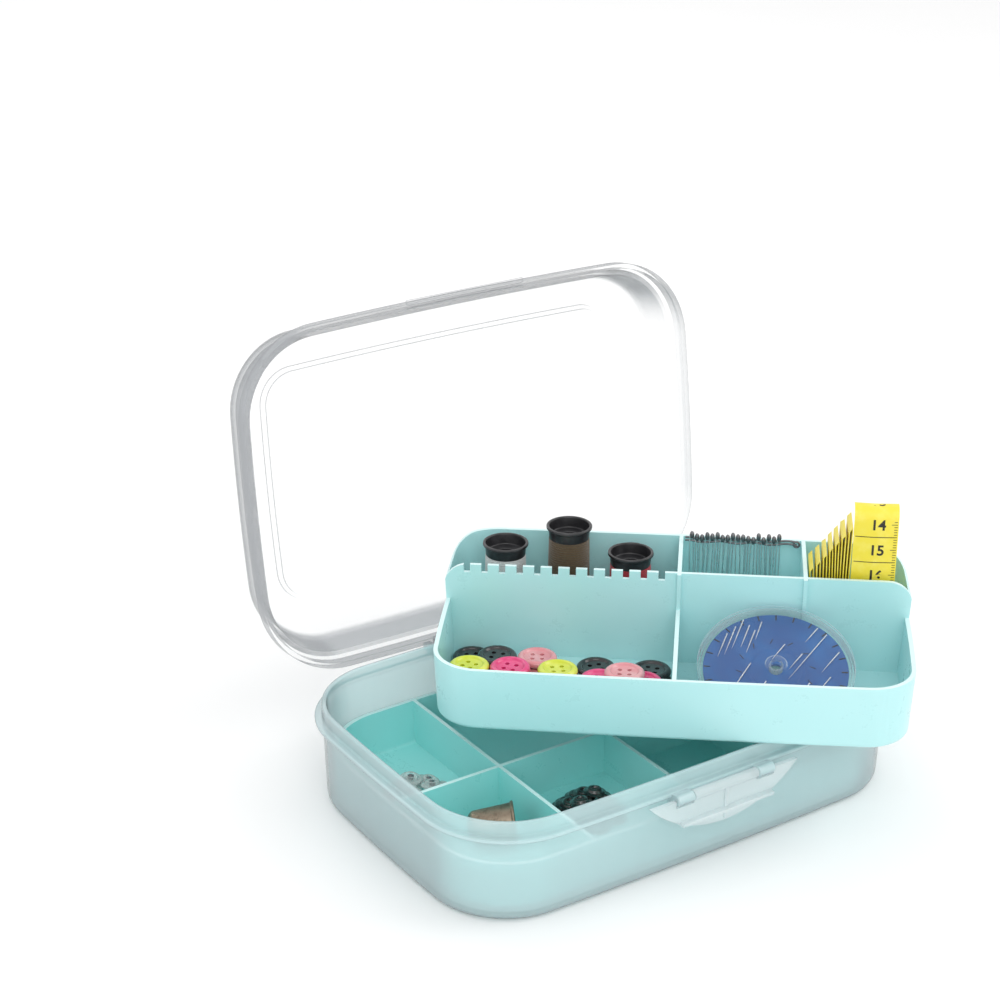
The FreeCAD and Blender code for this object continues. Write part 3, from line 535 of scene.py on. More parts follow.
# ------------------------------------------------------------------ surfaces
@dataclass
class Patch:
    """A surface: points in millimetres, faces, and a place on the surface for each point."""

    points: np.ndarray
    faces: list[np.ndarray]
    spots: np.ndarray

    @staticmethod
    def grid(points: np.ndarray) -> "Patch":
        """Quads over rows and columns of points.

        Args:
            points: array of rows, columns and 3; a closed direction repeats its first line.

        Returns:
            The surface, with spots from 0 to 1 along both directions.
        """
        rows, columns = points.shape[:2]
        index = np.arange(rows * columns).reshape(rows, columns)
        quads = np.stack([index[:-1, :-1], index[:-1, 1:], index[1:, 1:], index[1:, :-1]], axis=-1)
        across, along = np.meshgrid(np.linspace(0, 1, columns), np.linspace(0, 1, rows))
        spots = np.stack([across, along], axis=-1).reshape(-1, 2)
        return Patch(points.reshape(-1, 3), [quads.reshape(-1, 4)], spots)

    @staticmethod
    def joined(patches: Sequence["Patch"]) -> "Patch":
        """Several surfaces as one."""
        starts = np.cumsum([0] + [len(patch.points) for patch in patches[:-1]])
        faces = [block + start for patch, start in zip(patches, starts) for block in patch.faces]
        points = np.concatenate([patch.points for patch in patches])
        return Patch(points, faces, np.concatenate([patch.spots for patch in patches]))

    @staticmethod
    def read(mesh: bpy.types.Mesh) -> "Patch":
        """A mesh's points and faces as a surface, in the mesh's own units."""
        points = np.empty(len(mesh.vertices) * 3)
        mesh.vertices.foreach_get("co", points)
        faces = [np.array([tuple(face.vertices)]) for face in mesh.polygons]
        return Patch(points.reshape(-1, 3), faces, np.zeros((len(mesh.vertices), 2)))

    def moved(self, change: Any) -> "Patch":
        """The same surface with a function applied to its array of points."""
        return Patch(change(self.points), self.faces, self.spots)

    def mesh(self, name: str) -> bpy.types.Mesh:
        """The surface as a mesh in metres with its spots as a UV map."""
        mesh = bpy.data.meshes.new(name)
        corners = [face for block in self.faces for face in block.tolist()]
        mesh.from_pydata((self.points * MM).tolist(), [], corners)
        index = np.empty(len(mesh.loops), dtype=np.int32)
        mesh.loops.foreach_get("vertex_index", index)
        layer = mesh.uv_layers.new(name="surface")
        layer.data.foreach_set("uv", self.spots[index].astype(np.float32).ravel())
        return mesh

    def sealed(self, name: str) -> tuple[bpy.types.Mesh, bmesh.types.BMesh]:
        """The surface's mesh with an editing copy whose doubles are merged and faces point outwards."""
        mesh = self.mesh(name)
        work = bmesh.new()
        work.from_mesh(mesh)
        bmesh.ops.remove_doubles(work, verts=work.verts, dist=MERGE)
        bmesh.ops.recalc_face_normals(work, faces=work.faces)
        return mesh, work


def placed(name: str, data: Any) -> bpy.types.Object:
    """A new object of that data in the scene."""
    made = bpy.data.objects.new(name, data)
    bpy.context.scene.collection.objects.link(made)
    return made


def rounded(corners: Sequence[Sequence[float]], radii: Sequence[float], steps: int = 4) -> np.ndarray:
    """A polyline with its inner corners rounded.

    Each corner becomes a parabola a(1-t)^2 + 2ct(1-t) + bt^2 between the points a and b that lie
    one radius from the corner c along its two sides.

    Args:
        corners: points of the polyline.
        radii: distance from each inner corner at which its rounding starts.
        steps: pieces in each rounding.

    Returns:
        The points of the rounded polyline.
    """
    line = np.asarray(corners, dtype=float)
    middle = line[1:-1]
    reach = np.asarray(radii, dtype=float)[:, None]
    back = line[:-2] - middle
    ahead = line[2:] - middle
    start = middle + back / np.linalg.norm(back, axis=1, keepdims=True) * reach
    end = middle + ahead / np.linalg.norm(ahead, axis=1, keepdims=True) * reach
    t = np.linspace(0, 1, steps + 1)[None, :, None]
    arcs = start[:, None] * (1 - t) ** 2 + middle[:, None] * 2 * t * (1 - t) + end[:, None] * t ** 2
    return np.concatenate([line[:1], arcs.reshape(-1, line.shape[1]), line[-1:]])


def revolved(profile: np.ndarray, steps: int = 48) -> np.ndarray:
    """A profile of radius and height carried round Z: (r cos a, r sin a, z)."""
    angle = np.linspace(0, 2 * np.pi, steps + 1)
    x = profile[:, :1] * np.cos(angle)
    y = profile[:, :1] * np.sin(angle)
    z = np.broadcast_to(profile[:, 1:2], x.shape)
    return np.stack([x, y, z], axis=-1)


def capped(rows: np.ndarray) -> np.ndarray:
    """Rows of points with their first and last row drawn in to a pole each."""
    first = np.broadcast_to(rows[0].mean(axis=0), rows[0].shape)[None]
    last = np.broadcast_to(rows[-1].mean(axis=0), rows[-1].shape)[None]
    return np.concatenate([first, rows, last])


def tube(path: np.ndarray, radius: Any, sides: int = 8, up: Sequence[float] = (0, 1, 0)) -> Patch:
    """A round profile carried along a path and closed at both ends.

    At each point the ring is radius * (side cos a + over sin a), with side = tangent x up and
    over = side x tangent.

    Args:
        path: points along it.
        radius: one radius or one for each point.
        sides: points round it.
        up: a direction that the path never takes.

    Returns:
        The surface.
    """
    tangent = np.gradient(path, axis=0)
    tangent /= np.linalg.norm(tangent, axis=1, keepdims=True)
    side = np.cross(tangent, np.asarray(up, dtype=float))
    side /= np.linalg.norm(side, axis=1, keepdims=True)
    over = np.cross(side, tangent)
    angle = np.linspace(0, 2 * np.pi, sides + 1)[None, :, None]
    reach = np.broadcast_to(np.asarray(radius, dtype=float), (len(path),))[:, None, None]
    ring = side[:, None] * np.cos(angle) + over[:, None] * np.sin(angle)
    return Patch.grid(capped(path[:, None] + ring * reach))


def slab(outline: np.ndarray, low: float, high: float, edge: float = 0.25) -> Patch:
    """A closed outline in the YZ plane carried along X, with softened ends.

    Args:
        outline: points of Y and Z.
        low: X where it starts.
        high: X where it ends.
        edge: how far its ends are drawn in.

    Returns:
        The surface.
    """
    closed = np.concatenate([outline, outline[:1]])
    centre = outline.mean(axis=0)
    offset = closed - centre
    length = np.linalg.norm(offset, axis=1, keepdims=True)
    inner = centre + offset * (length - edge) / length
    flats = [inner, closed, closed, inner]
    places = [low, low + edge, high - edge, high]
    rows = [np.column_stack([np.full(len(closed), x), flat]) for x, flat in zip(places, flats)]
    return Patch.grid(capped(np.stack(rows)))


def block(low: Sequence[float], high: Sequence[float], edge: float = 0.1) -> Patch:
    """A bar along X with its long edges rounded."""
    y0, z0, y1, z1 = low[1], low[2], high[1], high[2]
    corners = [((y0 + y1) / 2, z0), (y1, z0), (y1, z1), (y0, z1), (y0, z0), ((y0 + y1) / 2, z0)]
    return slab(rounded(corners, [edge * 2] * 4, 3)[:-1], low[0], high[0], edge)


def turned(angle: float, axis: int) -> np.ndarray:
    """Matrix that turns by degrees about one axis by the right-hand rule."""
    c, s = math.cos(math.radians(angle)), math.sin(math.radians(angle))
    first, second = [(1, 2), (2, 0), (0, 1)][axis]
    matrix = np.eye(3)
    matrix[first, first] = matrix[second, second] = c
    matrix[first, second] = -s
    matrix[second, first] = s
    return matrix


@dataclass(frozen=True)
class Outline:
    """A rounded rectangle with swelling sides: eight arcs that keep their centres at every inset."""

    length: float
    depth: float
    corner: float
    bow: float
    long_steps: int = 60
    short_steps: int = 40
    corner_steps: int = 16

    def rings(self, inset: np.ndarray) -> np.ndarray:
        """The outline drawn in by each inset.

        Every point is centre + (radius - inset) * (cos a, sin a), where centre and radius are
        those of the arc that the angle a falls in.

        Args:
            inset: one distance for each ring.

        Returns:
            Array of rings, points and 2; each ring repeats its first point.
        """
        side = (self.depth / 2) ** 2 / (2 * self.bow)
        front = (self.length / 2) ** 2 / (2 * self.bow)
        cx, cy = self.length / 2 - side, self.depth / 2 - front
        kx, ky = self._corner_centre(cx, cy, side - self.corner, front - self.corner)
        a1 = math.atan2(ky, kx - cx)
        a2 = math.atan2(ky - cy, kx)
        pi = math.pi
        arcs = [
            (-a1, a1, cx, 0, side, self.short_steps),
            (a1, a2, kx, ky, self.corner, self.corner_steps),
            (a2, pi - a2, 0, cy, front, self.long_steps),
            (pi - a2, pi - a1, -kx, ky, self.corner, self.corner_steps),
            (pi - a1, pi + a1, -cx, 0, side, self.short_steps),
            (pi + a1, pi + a2, -kx, -ky, self.corner, self.corner_steps),
            (pi + a2, 2 * pi - a2, 0, -cy, front, self.long_steps),
            (2 * pi - a2, 2 * pi - a1, kx, -ky, self.corner, self.corner_steps),
        ]
        angle = np.concatenate([np.linspace(a, b, n, endpoint=False) for a, b, _, _, _, n in arcs])
        counts = [arc[5] for arc in arcs]
        centre = np.repeat([arc[2:4] for arc in arcs], counts, axis=0)
        radius = np.repeat([arc[4] for arc in arcs], counts)
        unit = np.stack([np.cos(angle), np.sin(angle)], axis=-1)
        reach = radius[None, :, None] - np.asarray(inset)[:, None, None]
        ring = centre[None] + reach * unit[None]
        return np.concatenate([ring, ring[:, :1]], axis=1)

    @staticmethod
    def _corner_centre(cx: float, cy: float, reach_x: float, reach_y: float) -> tuple[float, float]:
        """Where circles about (cx, 0) and (0, cy) of those radii cross in the first quadrant."""
        apart = math.hypot(cx, cy)
        along = (reach_x ** 2 - reach_y ** 2 + apart ** 2) / (2 * apart)
        across = math.sqrt(reach_x ** 2 - along ** 2)
        ux, uy = -cx / apart, cy / apart
        found = [(cx + along * ux + side * across * uy, along * uy - side * across * ux) for side in (-1, 1)]
        return max(found, key=min)

    def shell(self, profile: np.ndarray) -> np.ndarray:
        """A profile of inset and height carried round the outline, closed at both ends.

        The ends run in to the middle on rings scaled by 0.85, 0.5 and 0.

        Args:
            profile: points of inset and height, from the outside round to the inside.

        Returns:
            Array of rows, columns and 3.
        """
        rings = self.rings(profile[:, 0])
        height = np.broadcast_to(profile[:, 1][:, None, None], (*rings.shape[:2], 1))
        body = np.concatenate([rings, height], axis=-1)
        shrink = np.array([0.0, 0.5, 0.85])[:, None, None] * np.array([1, 1, 0]) + np.array([0, 0, 1])
        return np.concatenate([body[:1] * shrink, body, body[-1:] * shrink[::-1]])


BOX_OUTLINE = Outline(200.0, 134.0, 34.0, 2.0, long_steps=120)
HINGE = np.array([0.0, 69.5, 31.9])
HINGE_SPACING = 40.0
KNUCKLE_LENGTH = 16.0
CLASP_AXIS = (-69.4, 32.8)
TRAY_CENTRE = np.array([22.8, -10.3, 39.8])
TRAY_HALF_DEPTH = 46.9
TRAY_TURN = turned(-39.3, 2)
FLOOR_Z = 1.8


def opened(points: np.ndarray) -> np.ndarray:
    """Points of the closed lid turned back on the hinge by 97 degrees."""
    return (points - HINGE) @ turned(-97.0, 0).T + HINGE


def in_tray(points: np.ndarray) -> np.ndarray:
    """Points from the tray's own frame to where the tray lies."""
    return (points - [0.0, TRAY_HALF_DEPTH, 0.0]) @ TRAY_TURN.T + TRAY_CENTRE


# ------------------------------------------------------------------ box, lid and clasp
@dataclass
class OuterBox:
    """The clear box: one shell with flange and lip, and the lugs of its hinges and clasp."""

    shop: Workshop
    lug_thick: float = 3.0
    side_gap: float = 0.3
    notch_spare: float = 1.2
    notch_back: float = 65.6
    rod_radius: float = 1.5
    clasp_lug_radius: float = 2.1
    clasp_lug_length: float = 7.0
    clasp_lug_spacing: float = 35.2

    def build(self) -> None:
        """Makes the shell, the hinge lugs and rods and the clasp lugs."""
        self.shop.piece("box_shell", [self.shell()], Finish.BOX, "base", ("outer_box",))
        lugs, rods = [], []
        step = KNUCKLE_LENGTH / 2 + self.side_gap + self.lug_thick / 2
        for middle in (-HINGE_SPACING / 2, HINGE_SPACING / 2):
            lugs += [self.lug(middle - step), self.lug(middle + step)]
            path = np.linspace([middle - step, *HINGE[1:]], [middle + step, *HINGE[1:]], 6)
            rods.append(tube(path, self.rod_radius, 20))
        self.shop.piece("box_hinge_lugs", lugs, Finish.BOX, "base")
        self.shop.piece("box_hinge_rods", rods, Finish.BOX, "base")
        clasp_lugs = [self.clasp_lug(side * self.clasp_lug_spacing / 2) for side in (-1, 1)]
        self.shop.piece("box_clasp_lugs", clasp_lugs, Finish.BOX, "base")

    def shell(self) -> Patch:
        """Outside and inside of the box as one profile round its outline, notched for the knuckles."""
        corners = [(14, 0), (3.8, 0), (2.81, 32.7), (0, 32.7), (0, 34.5), (2.76, 34.5), (2.6, 39.5),
                   (4.4, 39.5), (5.57, 2.0), (15, 2.0)]
        profile = rounded(corners, [4, 0.6, 0.7, 0.7, 0.8, 0.8, 0.8, 2.2], 5)
        grid = BOX_OUTLINE.shell(profile)
        reach = KNUCKLE_LENGTH / 2 + self.side_gap + self.notch_spare
        notch = np.abs(np.abs(grid[..., 0]) - HINGE_SPACING / 2) < reach
        behind = notch & (grid[..., 1] > self.notch_back)
        grid[..., 1] = np.where(behind, self.notch_back, grid[..., 1])
        return Patch.grid(grid)

    def lug(self, middle: float) -> Patch:
        """One lug behind the wall: it holds the rod and stops the open lid."""
        corners = [(63.4, 33.8), (73.0, 33.65), (77.5, 33.1), (77.5, 30.9), (69.5, 28.9), (63.6, 24.7),
                   (63.4, 30)]
        outline = rounded(corners + corners[:1], [0.4, 0.6, 0.8, 1.5, 0.4, 0.3], 4)[:-1]
        return slab(outline, middle - self.lug_thick / 2, middle + self.lug_thick / 2, 0.3)

    def clasp_lug(self, middle: float) -> Patch:
        """One round-nosed lug that carries an end of the clasp's pin."""
        angle = np.radians(np.linspace(90, 270, 13))
        nose = CLASP_AXIS + self.clasp_lug_radius * np.column_stack([np.cos(angle), np.sin(angle)])
        outline = np.concatenate([nose, [(-63.5, 30.7), (-63.5, 34.2), (-66.5, 34.2)]])
        half = self.clasp_lug_length / 2
        return slab(outline, middle - half, middle + half, 0.3)


@dataclass
class Lid:
    """The clear lid, open: a shell with skirt, rebate and raised roof panel, knuckles and catch."""

    shop: Workshop
    knuckle_radius: float = 3.0

    def build(self) -> None:
        """Makes the shell, the knuckles and the catch ledge."""
        self.shop.piece("lid_shell", [self.shell()], Finish.LID, "lid", ("lid",))
        knuckles = [self.knuckle(middle).moved(opened) for middle in (-HINGE_SPACING / 2, HINGE_SPACING / 2)]
        self.shop.piece("lid_knuckles", knuckles, Finish.LID, "lid")
        catch = block((-26, -67.3, 39.2), (26, -65.2, 40.8), 0.3).moved(opened)
        self.shop.piece("lid_catch", [catch], Finish.LID, "lid")

    def shell(self) -> Patch:
        """Roof, wall, skirt and inside of the lid as one profile round the box's outline."""
        corners = [(32, 62.6), (20.4, 62.6), (19.8, 61.8), (5.6, 61.8), (3.11, 40.8), (0, 40.8), (0, 34.8),
                   (2.0, 34.8), (2.0, 40.4), (5.0, 40.4), (7.4, 60.0), (21.2, 60.0), (21.9, 60.8), (34, 60.8)]
        radii = [0.5, 0.4, 7, 0.6, 1.0, 0.6, 0.5, 0.3, 0.5, 5.2, 0.4, 0.4]
        return Patch.grid(BOX_OUTLINE.shell(rounded(corners, radii, 5))).moved(opened)

    def knuckle(self, middle: float) -> Patch:
        """Tube round the hinge rod with the arm that carries it, closed pose."""
        angle = np.radians(np.linspace(360, 107, 28))
        barrel = HINGE[1:] + self.knuckle_radius * np.column_stack([np.cos(angle), np.sin(angle)])
        arm = [(68.3, 34.8), (65.3, 34.8), (65.3, 37.8), (71.7, 37.8), (72.3, 37.3)]
        half = KNUCKLE_LENGTH / 2
        return slab(np.concatenate([barrel, arm]), middle - half, middle + half, 0.3)


# ------------------------------------------------------------------ contents of the insert
@dataclass
class Thimble:
    """A thimble lying on its side, dimpled in rings, with a rolled rim."""

    shop: Workshop
    radius: float = 7.2
    tip: float = 5.8
    length: float = 17.0
    wall: float = 0.8
    bead: float = 0.6
    rows: int = 90
    round_steps: int = 132

    def build(self) -> None:
        """Makes the dimpled cup and lays it where the frame has it."""
        patch = self.cup()
        flare = self.radius + self.bead - self.tip
        tilt = 90 - math.degrees(math.atan2(flare, self.length))
        points = patch.points @ turned(tilt, 1).T @ turned(-30.0, 2).T
        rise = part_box("thimble")[0][2] / MM - points[:, 2].min()
        laid = Patch(points + [-70.0, -14.5, rise], patch.faces, patch.spots)
        self.shop.piece("thimble_cup", [laid], Finish.COPPER, "thimble", ("thimble",), 60.0)

    def cup(self) -> Patch:
        """Outside, rolled rim and inside as one revolved profile.

        Dimples sink the outside by 0.32 * max(0, cos u sin v - 0.25), in rows between the crown
        and a plain band by the rim.
        """
        rise = np.linspace(0, 1, self.rows)
        crown = np.clip(rise * self.length / 3.0, 0, 1)
        slope = self.tip + (self.radius - self.tip) * rise
        width = slope * np.sqrt(1 - (1 - crown) ** 2 * 0.75) - 0.2
        outer = np.column_stack([width, rise * (self.length - 1)])
        outer[0, 0] = 0.0
        curl = np.radians(np.linspace(-80, 120, 14))
        rim = np.column_stack([self.radius - 0.2 + self.bead * np.cos(curl),
                               self.length - self.bead + self.bead * np.sin(curl)])
        inner = np.array([(self.radius - self.wall, self.length - 0.7), (self.tip - self.wall, 2.4),
                          (self.tip - 2, 1.6), (0, 1.6)])
        grid = revolved(np.concatenate([outer, rim, inner]), self.round_steps)
        angle = np.linspace(0, 2 * np.pi, self.round_steps + 1)[None, :]
        row = np.arange(self.rows)[:, None]
        step = 2 * np.pi * row / 6.0
        wave = np.cos(22 * angle + np.pi * np.floor(row / 6.0)) * np.sin(step - np.pi / 2)
        field = (row > 14) & (row < 68)
        sink = 0.32 * np.clip(wave - 0.25, 0, 1) * field
        side = grid[:self.rows, :, :2]
        side *= (1 - sink / np.maximum(np.linalg.norm(side, axis=-1), 1e-6))[..., None]
        return Patch.grid(grid)


@dataclass
class PressStuds:
    """Two loose heaps of press studs, clear ones with dark centres and black ones."""

    shop: Workshop
    lowest: float = 4.1
    layer_rise: float = 2.3

    def build(self) -> None:
        """Makes both heaps and the dark centres of the clear one."""
        clear = self.places((-68.0, 22.0), [(7, 10.2), (5, 7.6), (3, 5.2)])
        black = self.places((-23.5, -22.0), [(7, 10.2), (6, 9.0), (4, 6.4), (2, 4.4)])
        self.shop.piece("clear_stud_heap", self.heap(self.disc(), clear, 3), Finish.STUD_CLEAR, "insert",
                        ("clear_press_studs",))
        self.shop.piece("stud_centres", self.heap(self.centre(), clear, 3), Finish.DARK, "insert",
                        ("press_stud_centres",))
        self.shop.piece("black_stud_heap", self.heap(self.disc(), black, 8), Finish.STUD_BLACK, "insert",
                        ("black_press_studs",))

    def places(self, middle: tuple[float, float], rings: Sequence[tuple[int, float]]) -> np.ndarray:
        """Middles of studs in rings, one ring above another."""
        found = []
        for layer, (count, spread) in enumerate(rings):
            angle = 2 * np.pi * (np.arange(count) + 0.37 * layer) / count
            x, y = middle[0] + spread * np.cos(angle), middle[1] + spread * np.sin(angle)
            found.append(np.column_stack([x, y, np.full(count, self.lowest + layer * self.layer_rise)]))
        return np.concatenate(found)

    def disc(self) -> np.ndarray:
        """A stud: thin flange, domed body and a dimple in the top."""
        corners = [(0, 0.2), (1.1, 0.2), (1.3, 0), (4.2, 0), (4.2, 0.5), (2.9, 0.8), (2.5, 1.9), (1.3, 2.0),
                   (1.1, 1.3), (0, 1.2)]
        return revolved(rounded(corners, [0.1, 0.1, 0.15, 0.2, 0.3, 0.3, 0.2, 0.2], 2), 20)

    def centre(self) -> np.ndarray:
        """The dark knob in the middle of a clear stud."""
        corners = [(0, 0.3), (1.0, 0.3), (1.25, 1.2), (0.8, 2.0), (0, 2.0)]
        return revolved(rounded(corners, [0.1, 0.2, 0.4], 3), 14)

    def heap(self, shape: np.ndarray, places: np.ndarray, seed: int) -> list[Patch]:
        """The shape at each place, rocked a little each way."""
        draw = np.random.default_rng(seed)
        rock = draw.uniform(-1, 1, (len(places), 2))
        level = np.clip((places[:, 2] - self.lowest) / 3.0, 0, 1)
        result = []
        for place, (first, second), loose in zip(places, rock, level):
            turn = turned(9 * first * loose, 0) @ turned(9 * second * loose, 1)
            result.append(Patch.grid((shape - [0, 0, 1.0]) @ turn.T + [0, 0, 1.0] + place))
        return result


# ------------------------------------------------------------------ contents of the tray
@dataclass
class Spool:
    """A black spool with hollow ends and thread wound between them, standing in the tray."""

    shop: Workshop
    name: str
    thread: Finish
    x: float
    height: float
    radius: float = 8.6
    cap: float = 5.0
    windings: int = 40
    y: float = 75.6

    def build(self) -> None:
        """Makes the core and the thread."""
        core = Patch.grid(revolved(self.profile(), 56)).moved(self.stand)
        self.shop.piece(f"spool_{self.name}_core", [core], Finish.SPOOL, f"spool_{self.name}",
                        (f"spool_core_{self.name}",), 30.0)
        self.shop.piece(f"spool_{self.name}_thread", [self.winding().moved(self.stand)], self.thread,
                        f"spool_{self.name}", (f"spool_thread_{self.name}",), 60.0)

    def stand(self, points: np.ndarray) -> np.ndarray:
        """Points about the spool's axis to where the spool stands."""
        return in_tray(points + [self.x, self.y, FLOOR_Z])

    def profile(self) -> np.ndarray:
        """Half section of the core: flared ends with rolled rims, cups and a bore."""
        top, cap, r = self.height, self.cap, self.radius
        ends = [(3.0, 1.0), (6.6, 0.9), (7.6, 0), (r, 0), (r, 1.1), (7.8, 1.5), (7.5, cap), (4.0, cap)]
        corners = ends + [(4.0, top - cap), (7.5, top - cap), (7.8, top - 1.5), (r, top - 1.1), (r, top),
                          (7.5, top), (6.9, top - 4.2), (3.0, top - 4.2), (3.0, top / 2), (3.0, 1.0)]
        radii = [0.3, 0.4, 0.5, 0.5, 0.3, 0.3, 0.2, 0.2, 0.2, 0.3, 0.3, 0.5, 0.5, 0.5, 0.4, 0.3]
        return rounded(corners, radii, 4)

    def winding(self) -> Patch:
        """Thread between the caps.

        The radius is 7.45 + 0.22 * sin(pi v) + 0.2 * |sin(windings * pi * v + a / 2)|, so that the
        strands climb as they go round.
        """
        rows = self.windings * 6
        v = np.linspace(0, 1, rows + 1)[:, None]
        angle = np.linspace(0, 2 * np.pi, 61)[None, :]
        strand = 0.2 * np.abs(np.sin(self.windings * np.pi * v + angle / 2))
        radius = 7.45 + 0.22 * np.sin(np.pi * v) + strand
        low, high = self.cap + 0.02, self.height - self.cap - 0.02
        x, y = radius * np.cos(angle), radius * np.sin(angle)
        body = np.stack([x, y, np.broadcast_to(low + (high - low) * v, x.shape)], axis=-1)
        hub = revolved(np.array([(4.05, high), (4.05, low)]), 60)
        return Patch.grid(np.concatenate([body, hub, body[:1]]))


@dataclass
class TapeMeasure:
    """A tape folded in a standing fan, its last length turned to the front with printed centimetres."""

    shop: Workshop
    leaves: int = 14
    width: float = 16.0
    front: float = 63.0
    left: float = 63.4
    top: float = 64.7
    bend: float = 4.6
    first_mark: float = 58.3
    figure_size: float = 5.6
    figure_middle: float = 8.6
    leaf_steps: int = 22

    def build(self) -> None:
        """Makes the folds, the front strip, its printing and its metal end."""
        for name, patch, node in (("tape_fan", self.folds(), "tape_folds"),
                                  ("tape_strip", self.strip(), "tape_front_strip")):
            self.shop.piece(name, [patch.moved(in_tray)], Finish.TAPE, "tape", (node,), 50.0)
        self.shop.piece("tape_marks", self.marks(), Finish.INK, "tape")
        self.shop.piece("tape_numbers", self.numbers(), Finish.INK, "tape")
        self.shop.softened("tape_end", "tape_end_clip", Finish.STEEL, "tape", 0.15)

    def folds(self) -> Patch:
        """A thin flat profile carried up and down through every leaf of the fan.

        Leaf k leans from foot to head, and bows to the left by 0.4 * sin(pi s) * (1 - k's share).
        """
        share = np.linspace(0, 1, self.leaves)[:, None]
        s = np.linspace(0, 1, self.leaf_steps)[None, :]
        foot_x, head_x = 51.1 + 11.6 * share, 48.7 + 14.2 * share
        foot_z, head_z = np.full_like(share, FLOOR_Z + 0.5), FLOOR_Z + 37.0 + 17.6 * share
        bow = 0.15 * np.sin(5 * s + 9 * share) - 0.4 * np.sin(np.pi * s) * (1 - share)
        x = foot_x + (head_x - foot_x) * s ** 1.6 + bow
        z = foot_z + (head_z - foot_z) * s
        odd = (np.arange(self.leaves) % 2 == 1)[:, None]
        x, z = np.where(odd, x[:, ::-1], x), np.where(odd, z[:, ::-1], z)
        path = np.column_stack([x.ravel(), z.ravel()])
        tangent = np.gradient(path, axis=0)
        tangent /= np.linalg.norm(tangent, axis=1, keepdims=True)
        across = np.column_stack([-tangent[:, 1], tangent[:, 0]]) * 0.2
        sway = 0.35 * np.sin(np.repeat(np.arange(self.leaves), self.leaf_steps) * 2.1)
        near, far = self.front + 0.4 + sway, self.front + self.width - 0.4 + sway
        lines = [(across, near), (across, far), (-across, far), (-across, near), (across, near)]
        rows = [np.column_stack([path[:, 0] + a[:, 0], y, path[:, 1] + a[:, 1]]) for a, y in lines]
        return Patch.grid(capped(np.stack(rows, axis=1)))

    def spine(self, length: np.ndarray) -> tuple[np.ndarray, np.ndarray]:
        """Place on the strip's face at a height along it: straight up, then an arc to the back.

        Args:
            length: distance along the strip from the tray's floor plane.

        Returns:
            The offset towards the back, and the height.
        """
        start = self.top - self.bend
        angle = np.clip((length - start) / self.bend, 0, 1.75)
        back = self.bend * (1 - np.cos(angle))
        height = np.minimum(length, start) + self.bend * np.sin(angle)
        return back, height

    def strip(self) -> Patch:
        """The front length: a thin cupped profile carried up and over to the back."""
        length = np.linspace(FLOOR_Z + 3.6, self.top + 3.2, 60)
        across = np.linspace(0, 1, 15)
        back, height = self.spine(length)
        cup = 0.5 * (1 - np.sin(np.pi * across))
        x = self.left + self.width * across
        faces = []
        for thick in (0.0, 0.5):
            y = self.front + thick + cup[None, :] + back[:, None]
            z = np.broadcast_to(height[:, None], y.shape)
            faces.append(np.stack([np.broadcast_to(x, y.shape), y, z], axis=-1))
        front, rear = faces
        return Patch.grid(capped(np.concatenate([front, rear[:, ::-1], front[:, :1]], axis=1)))

    def on_strip(self, flat: np.ndarray) -> np.ndarray:
        """Flat points of width, length and depth wrapped onto the strip's face."""
        back, height = self.spine(flat[:, 1])
        share = flat[:, 0] / self.width
        y = self.front - 0.04 + 0.5 * (1 - np.sin(np.pi * share)) + back - flat[:, 2]
        return in_tray(np.column_stack([self.left + flat[:, 0], y, height]))

    def marks(self) -> list[Patch]:
        """A line across the tape at every centimetre and short ticks along its edges."""
        bars = []
        for step in range(6):
            bars.append((0.6, 15.4, self.first_mark - 4.6 - CENTIMETRE * step, 0.14))
        for step in range(57):
            reach = 2.2 if step % 5 == 0 else 1.2
            bars.append((15.6 - reach, 15.6, 3.7 + step, 0.11))
        result = []
        for low, high, place, half in bars:
            u = np.linspace(low, high, 8)
            rows = [np.column_stack([u, np.full(8, place + v), np.full(8, w)])
                    for v, w in ((-half, 0), (-half, 0.03), (half, 0.03), (half, 0), (-half, 0))]
            result.append(Patch.grid(capped(np.stack(rows, axis=1))).moved(self.on_strip))
        return result

    def numbers(self) -> list[Patch]:
        """Numbers 13 to 18 as thin raised figures on the strip."""
        result = []
        for index, number in enumerate(range(13, 19)):
            curve = bpy.data.curves.new("figures", "FONT")
            curve.body = str(number)
            curve.size = self.figure_size
            curve.align_x = "CENTER"
            curve.align_y = "CENTER"
            curve.extrude = 0.02
            curve.offset = 0.13
            holder = bpy.data.objects.new("figures", curve)
            mesh = bpy.data.meshes.new_from_object(holder)
            place = [self.figure_middle, self.first_mark + CENTIMETRE - CENTIMETRE * index, 0.02]
            result.append(Patch.read(mesh).moved(lambda flat: self.on_strip(flat + place)))
            bpy.data.objects.remove(holder)
            bpy.data.meshes.remove(mesh)
        return result


